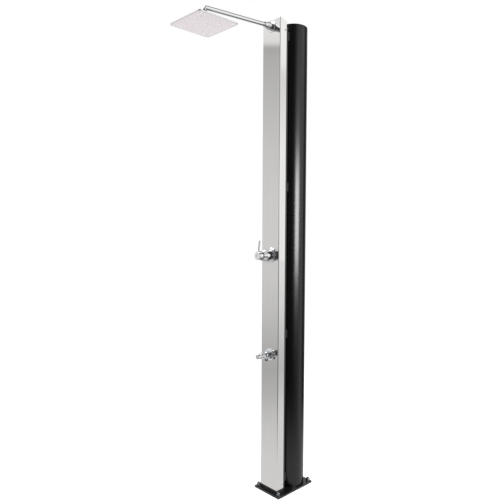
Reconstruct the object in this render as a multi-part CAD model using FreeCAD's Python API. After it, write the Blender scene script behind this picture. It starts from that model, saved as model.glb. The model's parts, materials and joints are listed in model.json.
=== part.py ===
import FreeCAD, Part
import math
import os

# Outdoor shower post: a black water tank and a stainless front cover stand on one floor plate.
# The cover carries the shower arm with a square head, a lever mixer and a foot-wash tap.
# Millimetres. Origin: middle of the floor plate's underside. +Z is up, -Y is the front, and +X is
# on the right of a user who faces the post.

Vector = FreeCAD.Vector
OUT = Vector(0, -1, 0)      # straight out of the front face
BACK = Vector(0, 1, 0)
UP = Vector(0, 0, 1)
DOWN = Vector(0, 0, -1)
SIDE = Vector(1, 0, 0)

# ---- clearances ----
RUN = 0.05                  # radial, a turning shaft in its bore
SLIP = 0.15                 # radial, a piece pushed into its seat
FREE = 0.3                  # between pieces that move past each other

# ---- floor plate ----
PLATE_SIDE = 25.0           # cover's sides to the plate's edges
PLATE_D = 240.0
PLATE_T = 8.0
PLATE_CORNER_R = 4.0
PLATE_CHAMFER = 1.0
ANCHOR_INSET = 15.0         # from the plate's edges to each anchor hole
ANCHOR_HOLE_R = 5.5
ANCHOR_NUT_AF = 17.0
ANCHOR_NUT_H = 8.0
WASHER_R = 10.0
WASHER_T = 2.0

# ---- front cover, a folded stainless sheet ----
COVER_W = 110.0
COVER_D = 43.0
COVER_T = 1.5
COVER_FOLD_R = 3.0
COVER_MARGIN = 17.0         # plate's front edge to the cover's front face
COVER_TOP = 2200.0
COVER_DROP = 14.0           # the top falls this much to the back
FOOT_H = 16.0               # black foot between the plate and the cover
FOOT_WALL = 3.0
FOOT_FLOOR = 4.0
FOOT_UPSTAND = 8.0
FOOT_SCREW_R = 3.0
FOOT_SCREW_INSET = 14.0     # from the cover's face and the channel's web
SIDE_SCREW_BOTTOM = 24.0    # cover's lower edge to its lower side screws
SIDE_SCREW_TOP = 37.0       # cover's rear top edge to its upper side screws
SIDE_SCREW_R = 2.0
SIDE_SCREW_HEAD_R = 4.0
SIDE_SCREW_HEAD_H = 2.4
BRACKET_H = 30.0
BRACKET_T = 2.0

# ---- mounting channel that joins the cover to the tank ----
CHANNEL_W = 76.0
CHANNEL_T = 2.5
CHANNEL_REACH = 18.0        # how far its flanges reach into the cover
CHANNEL_CAP_T = 3.0
CHANNEL_TOP_GAP = 14.0      # below the cover's rear top edge
SADDLE_T = 3.5              # least thickness between channel and tank
SADDLE_W = 70.0
SADDLE_H = 40.0
SADDLE_COUNT = 4
CHANNEL_SCREW_R = 3.0
CHANNEL_SCREW_HEAD_R = 5.5

# ---- tank ----
TANK_R = 70.0
TANK_WALL = 4.1
TANK_MARGIN = 10.0          # plate's rear edge to the tank
TANK_STEP = 4.0             # cover's top above the tank's
TANK_LID_T = 7.0
TANK_LID_ROUND = 3.0
PLUG_H = 80.0               # length of both end plugs inside the tube
PLUG_WALL = 13.0
PLUG_FLOOR = 12.0
PORT_HEIGHT = 52.0          # ports above the tank's floor and below its lid
TANK_SCREW_R = 4.0
TANK_SCREW_PCD = 90.0
TANK_SCREW_COUNT = 4
INLET_BORE_R = 9.3
INLET_DEPTH = 15.0
INLET_HEX_AF = 27.0
INLET_REACH = 22.0          # how far the inlet stands out of the tank
DRAIN_HEX_AF = 22.0
DRAIN_THREAD_R = 8.0
DRAIN_ANGLE = 150.0         # round the tank from +X, to the back on the left

# ---- water pipes behind the cover ----
PIPE_R = 6.0
PIPE_WALL = 1.0
PIPE_SPACING = 22.0         # hot and cold pipe to each side of the riser
PIPE_DEPTH = 17.0           # front face to the pipes' axes
PIPE_BEND_R = 18.0
PIPE_SOCKET = 8.0           # how far a pipe goes into a fitting
FITTING_WALL = 3.8
CLIP_COUNT = 4
CLIP_H = 10.0
CLIP_ROOM = 80.0            # mixer's axis to the nearest clip
CLIP_MARGIN = 120.0         # foot tap and upper port to the first and last clip
NIPPLE_R = 9.0
NIPPLE_HEX_AF = 22.0
NIPPLE_HEX_H = 12.0
NIPPLE_GAP = 0.5            # channel's web to a nipple's hexagon
TEE_HALF = 24.0             # half the height of the tee's upright run
BOSS_END = 40.0             # mixer's axis to the ends of its pipe bosses
SOCKET_DROP = 30.0          # arm's axis to the lower end of its socket

# ---- mixer ----
MIXER_Z = 1126.0
MIXER_ROSE_R = 37.5
MIXER_ROSE_T = 7.0
MIXER_BODY_R = 24.0
MIXER_BODY_REACH = 40.0
LOCKNUT_AF = 52.0
LOCKNUT_H = 3.5
SLEEVE_R = 27.0
SLEEVE_T = 1.5
SLEEVE_STRAIGHT = 40.0      # end of its straight part, from the face
SLEEVE_REACH = 60.0         # its mouth, from the face
CARTRIDGE_R = 17.5
CARTRIDGE_BACK = 18.0
CARTRIDGE_H = 26.0
COLLAR_R = 14.0
COLLAR_H = 5.0
CARTRIDGE_NUT_AF = 38.0
TURRET_R = 12.0
TURRET_NECK_R = 9.5
TURRET_SLOT = 8.6
STEM_W = 8.0
STEM_GRIP = 8.0             # stem's length in the handle's socket
STEM_PIN_R = 1.5
HANDLE_R = 19.0
HANDLE_REACH = 23.5         # front of the handle, from the sleeve's mouth
HANDLE_TAIL = 5.0           # ball-shaped end inside the sleeve
HANDLE_CAVITY_R = 15.0
HANDLE_CAVITY_REACH = 12.0
HANDLE_EDGE_R = 2.0
LEVER_R = 4.0
LEVER_TOP = 70.0            # above the mixer's axis
LEVER_OFFSET = 16.5         # lever's axis in front of the sleeve's mouth
LEVER_LEAN = 6.0            # degrees, towards the post
GRUB_R = 2.5

# ---- foot-wash tap ----
TAP_Z = 661.0
TAP_ROSE_R = 27.5
TAP_ROSE_T = 5.0
TAP_TAIL_R = 10.3
TAP_TAIL = 22.0
TAP_NECK_R = 12.5
TAP_BELLY_R = 17.0
TAP_BELLY_AT = 24.0         # centre of the round belly, from the face
TAP_BORE_R = 6.0
TAP_OUTLET_R = 9.0
TAP_OUTLET_DROP = 22.0
AERATOR_R = 10.5
AERATOR_H = 9.0
HEADWORK_AF = 24.0
HEADWORK_END = 40.0
SPINDLE_R = 4.0
KNOB_START = 38.0
KNOB_END = 81.5
KNOB_R = 16.5
KNOB_NOSE_R = 10.8
KNOB_WALL = 2.5
KNOB_FLUTES = 10
KNOB_FLUTE_R = 2.2
KNOB_SKIRT = 12.0           # length of its straight, fluted part

# ---- shower arm ----
ARM_DROP = 32.0             # cover's top to the arm's axis
ARM_R = 9.0
ARM_WALL = 1.2
ARM_REACH = 390.0           # front face to the head's axis
ARM_FALL = 4.2              # degrees, down towards the head
ARM_BEND_R = 15.0
ARM_SOFT_BEND_R = 120.0
ARM_STRAIGHT = 34.0         # level stretch at the collar
ARM_ROSE_R = 25.0
ARM_ROSE_T = 3.0
ARM_NIPPLE_R = 11.0
ARM_NIPPLE_REACH = 14.0
ARM_COLLAR_R = 17.0
ARM_COLLAR_REACH = 48.0

# ---- shower head and its ball joint ----
HEAD_SIDE = 200.0
HEAD_T = 6.0
HEAD_CORNER_R = 12.0
HEAD_DROP = 96.0            # arm's axis at the cover to the underside of the face plate
HEAD_WALL = 3.0
FACE_PLATE_T = 1.5
NOZZLE_ROWS = 9
NOZZLE_PITCH = 20.0
NOZZLE_R = 2.2
NOZZLE_TIP_R = 1.3
NOZZLE_H = 2.0
NOZZLE_SIDES = 8
BALL_R = 10.0
BALL_ABOVE_FACE = 18.0
BALL_NECK_R = 5.0
BALL_BORE_R = 3.0
RING_T = 0.9                # the two plastic rings round the ball
RING_LOW = 2.5              # ball's centre to each ring's near edge
RING_HIGH = 6.5             # ball's centre to each ring's far edge
NECK_ROOM = 1.0             # round the neck in the nut's mouth, at the widest tilt
SWIVEL_AF = 24.0
SWIVEL_HEX_H = 16.0
SWIVEL_HEX_GAP = 22.0       # ball centre to the hexagon
BOSS_R = 17.0
NUT_R = 19.5
NUT_ABOVE_BALL = 8.0
NUT_GROOVES = 12
HEAD_TILT = 12.0            # degrees each way

# ---- places that follow from the sizes ----
PLATE_W = COVER_W + 2 * PLATE_SIDE
FACE_Y = -PLATE_D / 2 + COVER_MARGIN
COVER_REAR = FACE_Y + COVER_D
COVER_BOTTOM = PLATE_T + FOOT_H
COVER_REAR_TOP = COVER_TOP - COVER_DROP
TANK_TOP = COVER_TOP - TANK_STEP
ARM_Z = COVER_TOP - ARM_DROP
HEAD_FACE_Z = ARM_Z - HEAD_DROP
TANK_Y = PLATE_D / 2 - TANK_MARGIN - TANK_R
TANK_INNER_R = TANK_R - TANK_WALL
CHANNEL_BACK = TANK_Y - TANK_R - SADDLE_T
CHANNEL_FRONT = COVER_REAR - CHANNEL_REACH
CHANNEL_TOP = COVER_REAR_TOP - CHANNEL_TOP_GAP
CHANNEL_WEB = CHANNEL_BACK - CHANNEL_T
PIPE_Y = FACE_Y + PIPE_DEPTH
PORT_LOW = PLATE_T + PORT_HEIGHT
PORT_HIGH = TANK_TOP - TANK_LID_T - PORT_HEIGHT
PORT_BEHIND = TANK_Y - math.sqrt(TANK_R ** 2 - PIPE_SPACING ** 2)
SIDE_SCREW_Y = CHANNEL_FRONT + (COVER_REAR - CHANNEL_FRONT) / 2
SCREW_LOW_Z = COVER_BOTTOM + SIDE_SCREW_BOTTOM
SCREW_HIGH_Z = COVER_REAR_TOP - SIDE_SCREW_TOP
PIVOT = Vector(0, FACE_Y - SLEEVE_REACH, MIXER_Z)
HEAD_Y = FACE_Y - ARM_REACH
BALL_Z = HEAD_FACE_Z + BALL_ABOVE_FACE
HEAD_TOP_Z = HEAD_FACE_Z + HEAD_T
FITTING_R = PIPE_R + FITTING_WALL


# ---- shape helpers ----
def block(low, high):
    """Box between two opposite corners."""
    size = [b - a for a, b in zip(low, high)]
    return Part.makeBox(size[0], size[1], size[2], Vector(*low))


def rod(radius, start, direction, length):
    """Round rod that starts at a point and runs along a direction."""
    return Part.makeCylinder(radius, length, start, direction)


def turned(profile, origin, axis):
    """Solid of revolution. The profile lists corners as (distance along the axis, radius); an entry
    of two such pairs is an arc through the first pair to the second."""
    edges = []
    here = Vector(profile[0][1], 0, profile[0][0])
    for step in list(profile[1:]) + [profile[0]]:
        if isinstance(step[0], tuple):
            through = Vector(step[0][1], 0, step[0][0])
            there = Vector(step[1][1], 0, step[1][0])
            edges.append(Part.Arc(here, through, there).toShape())
        else:
            there = Vector(step[1], 0, step[0])
            if there.sub(here).Length < 1e-6:
                continue
            edges.append(Part.LineSegment(here, there).toShape())
        here = there
    solid = Part.Face(Part.Wire(edges)).revolve(Vector(0, 0, 0), UP, 360)
    solid.Placement = FreeCAD.Placement(origin, FreeCAD.Rotation(UP, axis))
    return solid


def sleeve(outer, inner, start, direction, length):
    """Straight round tube."""
    return rod(outer, start, direction, length).cut(rod(inner, start, direction, length))


def polygon(sides, radius, centre):
    """Level regular polygon, one corner in line with X."""
    step = 2 * math.pi / sides
    return Part.makePolygon([centre + Vector(radius * math.cos(k * step), radius * math.sin(k * step), 0)
                             for k in range(sides + 1)])


def hexagon(across_flats, start, direction, length):
    """Hexagonal prism, with two of its corners in line with X where it stands along Y or Z."""
    prism = Part.Face(polygon(6, across_flats / math.sqrt(3), Vector(0, 0, 0))).extrude(UP * length)
    prism.Placement = FreeCAD.Placement(start, FreeCAD.Rotation(UP, direction))
    return prism


def rounded(corners, radii, z):
    """Flat face at height z whose corners are rounded by tangent arcs."""
    count = len(corners)
    ends = []
    for k, radius in enumerate(radii):
        point = Vector(corners[k][0], corners[k][1], z)
        before = Vector(corners[k - 1][0], corners[k - 1][1], z).sub(point).normalize()
        after = Vector(corners[(k + 1) % count][0], corners[(k + 1) % count][1], z).sub(point).normalize()
        half = before.getAngle(after) / 2
        reach = radius / math.tan(half)
        middle = point.add(before.add(after).normalize() * (radius / math.sin(half) - radius))
        ends.append((point.add(before * reach), middle, point.add(after * reach), radius))
    edges = []
    for k, (first, middle, last, radius) in enumerate(ends):
        if radius > 0:
            edges.append(Part.Arc(first, middle, last).toShape())
        following = ends[(k + 1) % count][0]
        edges.append(Part.LineSegment(last, following).toShape())
    return Part.Face(Part.Wire(edges))


def rectangle(half_w, front, rear, radius_front, radius_rear, z):
    """Flat face centred on x = 0, with rounded front and rear corners."""
    corners = [(-half_w, front), (half_w, front), (half_w, rear), (-half_w, rear)]
    return rounded(corners, [radius_front, radius_front, radius_rear, radius_rear], z)


def bent_line(points, radii):
    """Wire through the points, each corner between rounded by a tangent arc of its own radius."""
    edges = []
    here = points[0]
    for before, corner, after, radius in zip(points, points[1:], points[2:], radii):
        back = before.sub(corner).normalize()
        on = after.sub(corner).normalize()
        half = back.getAngle(on) / 2
        start = corner.add(back * (radius / math.tan(half)))
        end = corner.add(on * (radius / math.tan(half)))
        middle = corner.add(back.add(on).normalize() * (radius / math.sin(half) - radius))
        edges.append(Part.LineSegment(here, start).toShape())
        edges.append(Part.Arc(start, middle, end).toShape())
        here = end
    edges.append(Part.LineSegment(here, points[-1]).toShape())
    return Part.Wire(edges)


def bent_rod(points, radii, radius):
    """Round rod swept along a bent line."""
    start = points[1].sub(points[0]).normalize()
    ring = Part.Wire([Part.makeCircle(radius, points[0], start)])
    return bent_line(points, radii).makePipeShell([ring], True, False)


def pipe(points, radii, radius, wall):
    """Round pipe swept along a bent line."""
    return bent_rod(points, radii, radius).cut(bent_rod(points, radii, radius - wall))


def group(solids):
    """Separate solids kept in one node."""
    return Part.makeCompound(solids)


# ---- floor plate and its fasteners ----
def anchor_points():
    x = PLATE_W / 2 - ANCHOR_INSET
    y = PLATE_D / 2 - ANCHOR_INSET
    return [(sx * x, sy * y) for sx in (-1, 1) for sy in (-1, 1)]


def foot_screw_points():
    x = COVER_W / 2 - COVER_T - FOOT_WALL - 10
    front = FACE_Y + FOOT_SCREW_INSET
    return [(-x, front), (x, front), (0, CHANNEL_WEB - FOOT_SCREW_INSET)]


def tank_screw_points():
    step = 2 * math.pi / TANK_SCREW_COUNT
    radius = TANK_SCREW_PCD / 2
    return [(radius * math.cos((k + 0.5) * step), TANK_Y + radius * math.sin((k + 0.5) * step))
            for k in range(TANK_SCREW_COUNT)]


def countersunk_screw(x, y, z, radius, length):
    """Flat-headed screw pushed up from z, its head flush with z."""
    head = radius * 2
    return turned([(0, 0), (0, head), (radius, radius), (length, radius), (length, 0)],
                  Vector(x, y, z), UP)


def base_plate():
    plate = rectangle(PLATE_W / 2, -PLATE_D / 2, PLATE_D / 2, PLATE_CORNER_R, PLATE_CORNER_R, 0)
    plate = plate.extrude(UP * PLATE_T)
    top_edges = [e for e in plate.Edges if abs(e.BoundBox.ZMin - PLATE_T) < 1e-6]
    plate = plate.makeChamfer(PLATE_CHAMFER, top_edges)
    for x, y in anchor_points():
        plate = plate.cut(rod(ANCHOR_HOLE_R, Vector(x, y, 0), UP, PLATE_T))
    for x, y in foot_screw_points():
        plate = plate.cut(countersunk_screw(x, y, 0, FOOT_SCREW_R + SLIP, PLATE_T))
    for x, y in tank_screw_points():
        plate = plate.cut(countersunk_screw(x, y, 0, TANK_SCREW_R + SLIP, PLATE_T))
    return plate


def anchor_washers():
    return group([sleeve(WASHER_R, ANCHOR_HOLE_R, Vector(x, y, PLATE_T), UP, WASHER_T)
                  for x, y in anchor_points()])


def anchor_nuts():
    """Domed nuts, bored blind for the ground studs."""
    nuts = []
    for x, y in anchor_points():
        base = Vector(x, y, PLATE_T + WASHER_T)
        dome_r = ANCHOR_NUT_AF / 2 - 0.5
        nut = hexagon(ANCHOR_NUT_AF, base, UP, ANCHOR_NUT_H)
        dome = turned([(ANCHOR_NUT_H, 0), (ANCHOR_NUT_H, dome_r),
                       ((ANCHOR_NUT_H + dome_r * 0.707, dome_r * 0.707), (ANCHOR_NUT_H + dome_r, 0))],
                      base, UP)
        nuts.append(nut.fuse(dome).cut(rod(5.0, base, UP, ANCHOR_NUT_H + 2)))
    return group(nuts)


def tank_screws():
    return group([countersunk_screw(x, y, 0, TANK_SCREW_R, PLATE_T + PLUG_FLOOR - 2)
                  for x, y in tank_screw_points()])


def foot_screws():
    return group([countersunk_screw(x, y, 0, FOOT_SCREW_R, PLATE_T + FOOT_FLOOR)
                  for x, y in foot_screw_points()])


# ---- foot, cover and mounting channel ----
def front_foot():
    """Moulded foot: the cover's outline below, an upstand inside the cover above, open inside."""
    half = COVER_W / 2
    body = rectangle(half, FACE_Y, COVER_REAR, COVER_FOLD_R, 0, PLATE_T).extrude(UP * FOOT_H)
    rear = block((-CHANNEL_W / 2, COVER_REAR - 1, PLATE_T), (CHANNEL_W / 2, CHANNEL_BACK, COVER_BOTTOM))
    inset = COVER_T + FREE
    upstand = rectangle(half - inset, FACE_Y + inset, COVER_REAR - inset, COVER_FOLD_R - COVER_T, 0,
                        COVER_BOTTOM - 1).extrude(UP * (FOOT_UPSTAND + 1))
    foot = body.fuse(rear).fuse(upstand).removeSplitter()
    wall = inset + FOOT_WALL
    floor = PLATE_T + FOOT_FLOOR
    well = block((-half + wall, FACE_Y + wall, floor),
                 (half - wall, COVER_REAR - wall, COVER_BOTTOM + FOOT_UPSTAND))
    slot_half = CHANNEL_W / 2 + FREE
    slot = block((-slot_half, CHANNEL_FRONT - FREE, COVER_BOTTOM),
                 (slot_half, COVER_REAR, COVER_BOTTOM + FOOT_UPSTAND))
    rear_well = block((-CHANNEL_W / 2 + FOOT_WALL, COVER_REAR - wall - 1, floor),
                      (CHANNEL_W / 2 - FOOT_WALL, CHANNEL_BACK - FOOT_WALL, COVER_BOTTOM))
    foot = foot.cut(well).cut(slot).cut(rear_well)
    for x, y in foot_screw_points():
        foot = foot.cut(rod(FOOT_SCREW_R + SLIP, Vector(x, y, PLATE_T), UP, FOOT_FLOOR))
    return foot


def cover_space(inset, low):
    """Solid inside of the cover at a given distance from its outer skin."""
    half = COVER_W / 2 - inset
    front = FACE_Y + inset
    rear = COVER_REAR - inset
    column = rectangle(half, front, rear, COVER_FOLD_R - inset, 0, low).extrude(UP * (COVER_TOP - low))
    slope = COVER_DROP / COVER_D
    side = [Vector(-COVER_W, front, low), Vector(-COVER_W, rear, low),
            Vector(-COVER_W, rear, COVER_TOP - inset - slope * (rear - FACE_Y)),
            Vector(-COVER_W, front, COVER_TOP - inset - slope * (front - FACE_Y))]
    wedge = Part.Face(Part.makePolygon(side + side[:1])).extrude(SIDE * (2 * COVER_W))
    return column.common(wedge)


def front_cover():
    cover = cover_space(0, COVER_BOTTOM).cut(cover_space(COVER_T, COVER_BOTTOM - 1))
    half_gap = CHANNEL_W / 2 + FREE
    cover = cover.cut(block((-half_gap, COVER_REAR - COVER_T - 1, COVER_BOTTOM),
                            (half_gap, COVER_REAR, CHANNEL_TOP + CHANNEL_CAP_T + FREE)))
    for z, radius in ((MIXER_Z, MIXER_BODY_R), (TAP_Z, TAP_TAIL_R), (ARM_Z, ARM_NIPPLE_R)):
        cover = cover.cut(rod(radius + FREE, Vector(0, FACE_Y - 1, z), BACK, COVER_T + 2))
    for z in (SCREW_LOW_Z, SCREW_HIGH_Z):
        start = Vector(-COVER_W / 2 - 1, SIDE_SCREW_Y, z)
        cover = cover.cut(rod(SIDE_SCREW_R + SLIP, start, SIDE, COVER_W + 2))
    return cover


def side_places():
    """Each side screw as (side, height), with side -1 or 1."""
    return [(side, z) for side in (-1, 1) for z in (SCREW_LOW_Z, SCREW_HIGH_Z)]


def cover_brackets():
    """Folded brackets between the channel's flanges and the cover's sides."""
    brackets = []
    inner = CHANNEL_W / 2
    outer = COVER_W / 2 - COVER_T
    front = CHANNEL_FRONT + 2
    rear = COVER_REAR - COVER_T - FREE
    for side, z in side_places():
        low, high = sorted((side * inner, side * outer))
        bracket = block((low, front, z - BRACKET_H / 2), (high, rear, z + BRACKET_H / 2))
        bracket = bracket.cut(block((low + BRACKET_T, front, z - BRACKET_H / 2),
                                    (high - BRACKET_T, rear, z + BRACKET_H / 2 - BRACKET_T)))
        hole = rod(SIDE_SCREW_R + SLIP, Vector(side * (inner + BRACKET_T + 1), SIDE_SCREW_Y, z),
                   SIDE * side, outer - inner)
        brackets.append(bracket.cut(hole))
    return group(brackets)


def cover_screws():
    """Pan-head screws through the cover's sides."""
    screws = []
    for side, z in side_places():
        base = Vector(side * COVER_W / 2, SIDE_SCREW_Y, z)
        head = SIDE_SCREW_HEAD_R
        height = SIDE_SCREW_HEAD_H
        screw = turned([(-COVER_T - 5, 0), (-COVER_T - 5, SIDE_SCREW_R), (0, SIDE_SCREW_R), (0, head),
                        ((height * 0.8, head * 0.72), (height, 0))], base, SIDE * side)
        slot = block((-head, -0.5, height - 1.2), (head, 0.5, height + 1))
        slot.Placement = FreeCAD.Placement(base, FreeCAD.Rotation(UP, SIDE * side))
        screws.append(screw.cut(slot))
    return group(screws)


def mounting_channel():
    half = CHANNEL_W / 2
    channel = block((-half, CHANNEL_FRONT, COVER_BOTTOM), (half, CHANNEL_BACK, CHANNEL_TOP))
    channel = channel.cut(block((-half + CHANNEL_T, CHANNEL_FRONT, COVER_BOTTOM),
                                (half - CHANNEL_T, CHANNEL_WEB, CHANNEL_TOP)))
    for x, z in ((PIPE_SPACING, PORT_LOW), (-PIPE_SPACING, PORT_HIGH)):
        channel = channel.cut(rod(NIPPLE_R + FREE, Vector(x, CHANNEL_WEB - 1, z), BACK, CHANNEL_T + 2))
    for z in channel_screw_heights():
        start = Vector(0, CHANNEL_WEB - 1, z)
        channel = channel.cut(rod(CHANNEL_SCREW_R + SLIP, start, BACK, CHANNEL_T + 2))
    return channel


def channel_cap():
    """Plastic lid on the channel's upper end, behind the cover."""
    half = CHANNEL_W / 2
    return block((-half, COVER_REAR - COVER_T, CHANNEL_TOP),
                 (half, CHANNEL_BACK, CHANNEL_TOP + CHANNEL_CAP_T))


def saddle_heights():
    return [PORT_LOW + (PORT_HIGH - PORT_LOW) * k / (SADDLE_COUNT - 1) for k in range(SADDLE_COUNT)]


def nipple_sides(z):
    """X of the nipple that passes a saddle at this height: cold below, hot above, none between."""
    ports = ((PIPE_SPACING, PORT_LOW), (-PIPE_SPACING, PORT_HIGH))
    return [x for x, port in ports if abs(port - z) < NIPPLE_R]


def channel_screw_heights():
    """The end saddles take the screws that run into the tank's end plugs."""
    heights = saddle_heights()
    return [heights[0], heights[-1]]


def tank_saddles():
    """Moulded packings with a hollow back that fits the tank."""
    saddles = []
    half = SADDLE_W / 2
    for z in saddle_heights():
        low = z - SADDLE_H / 2
        body = block((-half, CHANNEL_BACK, low), (half, TANK_Y, low + SADDLE_H))
        reach = TANK_Y - math.sqrt(TANK_R ** 2 - half ** 2)
        body = body.common(block((-half, CHANNEL_BACK, low), (half, reach, low + SADDLE_H)))
        body = body.cut(rod(TANK_R + FREE / 2, Vector(0, TANK_Y, low), UP, SADDLE_H))
        body = body.cut(rod(CHANNEL_SCREW_R + SLIP, Vector(0, CHANNEL_BACK - 1, z), BACK, SADDLE_T + 4))
        for x in nipple_sides(z):
            body = body.cut(rod(NIPPLE_R + FREE, Vector(x, CHANNEL_BACK - 1, z), BACK, 2 * SADDLE_H))
        saddles.append(body)
    return group(saddles)


def channel_screws():
    """Long screws through channel, saddle and tube into the end plugs."""
    length = CHANNEL_T + SADDLE_T + TANK_WALL + PLUG_WALL - 3
    head = CHANNEL_SCREW_HEAD_R
    shank = CHANNEL_SCREW_R
    return group([turned([(-shank, 0), (-shank, head), (0, head), (0, shank), (length, shank), (length, 0)],
                         Vector(0, CHANNEL_WEB, z), BACK) for z in channel_screw_heights()])


# ---- tank ----
def drain_direction():
    angle = math.radians(DRAIN_ANGLE)
    return Vector(math.cos(angle), math.sin(angle), 0)


def tank_borings():
    """Everything that passes through the tank's wall, as one cutter."""
    length = TANK_WALL + PLUG_WALL + 6
    cutters = []
    for x, z in ((PIPE_SPACING, PORT_LOW), (-PIPE_SPACING, PORT_HIGH)):
        cutters.append(rod(NIPPLE_R + SLIP, Vector(x, PORT_BEHIND - 6, z), BACK, length + 6))
    for z in channel_screw_heights():
        start = Vector(0, TANK_Y - TANK_R - 2, z)
        cutters.append(rod(CHANNEL_SCREW_R + SLIP, start, BACK, TANK_WALL + PLUG_WALL))
    cutters.append(rod(INLET_BORE_R + 3 + SLIP, Vector(0, TANK_Y + TANK_R + 1, PORT_LOW), OUT, length))
    drain = drain_direction()
    start = Vector(0, TANK_Y, PORT_LOW) + drain * (TANK_R + 1)
    cutters.append(rod(DRAIN_THREAD_R + SLIP, start, drain * -1, length))
    return group(cutters)


def tank_tube():
    tube = sleeve(TANK_R, TANK_INNER_R, Vector(0, TANK_Y, PLATE_T), UP, TANK_TOP - TANK_LID_T - PLATE_T)
    return tube.cut(tank_borings())


def tank_base():
    """Lower end plug: floor, thick wall for the ports, and screw holes from the floor plate."""
    radius = TANK_INNER_R - SLIP
    plug = turned([(0, 0), (0, radius), (PLUG_H, radius), (PLUG_H, radius - 4),
                   (PLUG_H - 12, radius - PLUG_WALL), (PLUG_FLOOR, radius - PLUG_WALL), (PLUG_FLOOR, 0)],
                  Vector(0, TANK_Y, PLATE_T), UP)
    for x, y in tank_screw_points():
        plug = plug.cut(rod(TANK_SCREW_R + SLIP, Vector(x, y, PLATE_T), UP, PLUG_FLOOR - 1))
    return plug.cut(tank_borings())


def tank_lid():
    """Upper end plug with the visible flat lid and its rounded rim."""
    radius = TANK_INNER_R - SLIP
    bend = TANK_LID_ROUND
    soft = bend * (1 - math.sqrt(0.5))
    lid = turned([(TANK_LID_T, 0), ((TANK_LID_T), TANK_R - bend),
                  ((TANK_LID_T - soft, TANK_R - soft), (TANK_LID_T - bend, TANK_R)),
                  (0, TANK_R), (0, radius), (-PLUG_H, radius), (-PLUG_H, radius - 4),
                  (-PLUG_H + 12, radius - PLUG_WALL), (-6, radius - PLUG_WALL), (-6, 0)],
                 Vector(0, TANK_Y, TANK_TOP - TANK_LID_T), UP)
    return lid.cut(tank_borings())


def tank_nipples():
    """Threaded nipples that join the pipes to the tank through the channel."""
    nipples = []
    depth = TANK_WALL + PLUG_WALL - 2
    mouth = nipple_mouth()
    front = mouth + NIPPLE_HEX_H / 2
    for x, z in ((PIPE_SPACING, PORT_LOW), (-PIPE_SPACING, PORT_HIGH)):
        base = Vector(x, PORT_BEHIND + depth, z)
        nipple = rod(NIPPLE_R, base, OUT, base.y - front)
        nut = Vector(x, mouth + NIPPLE_HEX_H, z)
        nipple = nipple.fuse(hexagon(NIPPLE_HEX_AF, nut, OUT, NIPPLE_HEX_H))
        nipple = nipple.cut(rod(PIPE_R + SLIP, Vector(x, mouth, z), BACK, PIPE_SOCKET))
        nipples.append(nipple.cut(rod(PIPE_R - PIPE_WALL, Vector(x, mouth, z), BACK, TANK_R)))
    return group(nipples)


def nipple_mouth():
    """Y of the nipples' open ends."""
    return CHANNEL_WEB - NIPPLE_GAP - NIPPLE_HEX_H


def inlet_socket():
    """Female hose or pipe inlet in the tank's back, with a hexagon outside."""
    wall = TANK_Y + TANK_R
    radius = INLET_BORE_R + 3
    start = Vector(0, wall - TANK_WALL - PLUG_WALL + 2, PORT_LOW)
    socket = rod(radius, start, BACK, wall - start.y + 2)
    socket = socket.fuse(hexagon(INLET_HEX_AF, Vector(0, wall + 0.5, PORT_LOW), BACK, INLET_REACH - 0.5))
    socket = socket.cut(rod(INLET_BORE_R, Vector(0, wall + INLET_REACH, PORT_LOW), OUT, INLET_DEPTH))
    return socket.cut(rod(PIPE_R, start, BACK, 60))


def drain_plug():
    """Hexagon plug low on the tank, to empty it for the winter."""
    drain = drain_direction()
    wall = Vector(0, TANK_Y, PORT_LOW) + drain * (TANK_R + 0.5)
    plug = rod(DRAIN_THREAD_R, wall, drain * -1, TANK_WALL + PLUG_WALL - 2)
    plug = plug.fuse(rod(DRAIN_HEX_AF / 2 + 3, wall + drain * 2, drain, 2))
    plug = plug.fuse(hexagon(DRAIN_HEX_AF, wall + drain * 4, drain, 8))
    return plug.fuse(rod(DRAIN_THREAD_R, wall, drain, 2))


def drain_seal():
    drain = drain_direction()
    wall = Vector(0, TANK_Y, PORT_LOW) + drain * (TANK_R + 0.5)
    return sleeve(DRAIN_HEX_AF / 2 + 2, DRAIN_THREAD_R + SLIP, wall, drain, 2)


# ---- pipes ----
def cold_pipe_lower():
    x = PIPE_SPACING
    points = [Vector(x, nipple_mouth() + PIPE_SOCKET - 1, PORT_LOW), Vector(x, PIPE_Y, PORT_LOW),
              Vector(x, PIPE_Y, TAP_Z - TEE_HALF + PIPE_SOCKET)]
    return pipe(points, [PIPE_BEND_R], PIPE_R, PIPE_WALL)


def cold_pipe_upper():
    points = [Vector(PIPE_SPACING, PIPE_Y, TAP_Z + TEE_HALF - PIPE_SOCKET),
              Vector(PIPE_SPACING, PIPE_Y, MIXER_Z - BOSS_END + PIPE_SOCKET)]
    return sleeve(PIPE_R, PIPE_R - PIPE_WALL, points[0], UP, points[1].z - points[0].z)


def hot_pipe():
    x = -PIPE_SPACING
    points = [Vector(x, nipple_mouth() + PIPE_SOCKET - 1, PORT_HIGH), Vector(x, PIPE_Y, PORT_HIGH),
              Vector(x, PIPE_Y, MIXER_Z + BOSS_END - PIPE_SOCKET)]
    return pipe(points, [PIPE_BEND_R], PIPE_R, PIPE_WALL)


def riser_pipe():
    start = Vector(0, PIPE_Y, MIXER_Z + BOSS_END - PIPE_SOCKET)
    return sleeve(PIPE_R, PIPE_R - PIPE_WALL, start, UP, ARM_Z - SOCKET_DROP + PIPE_SOCKET - start.z)


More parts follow.
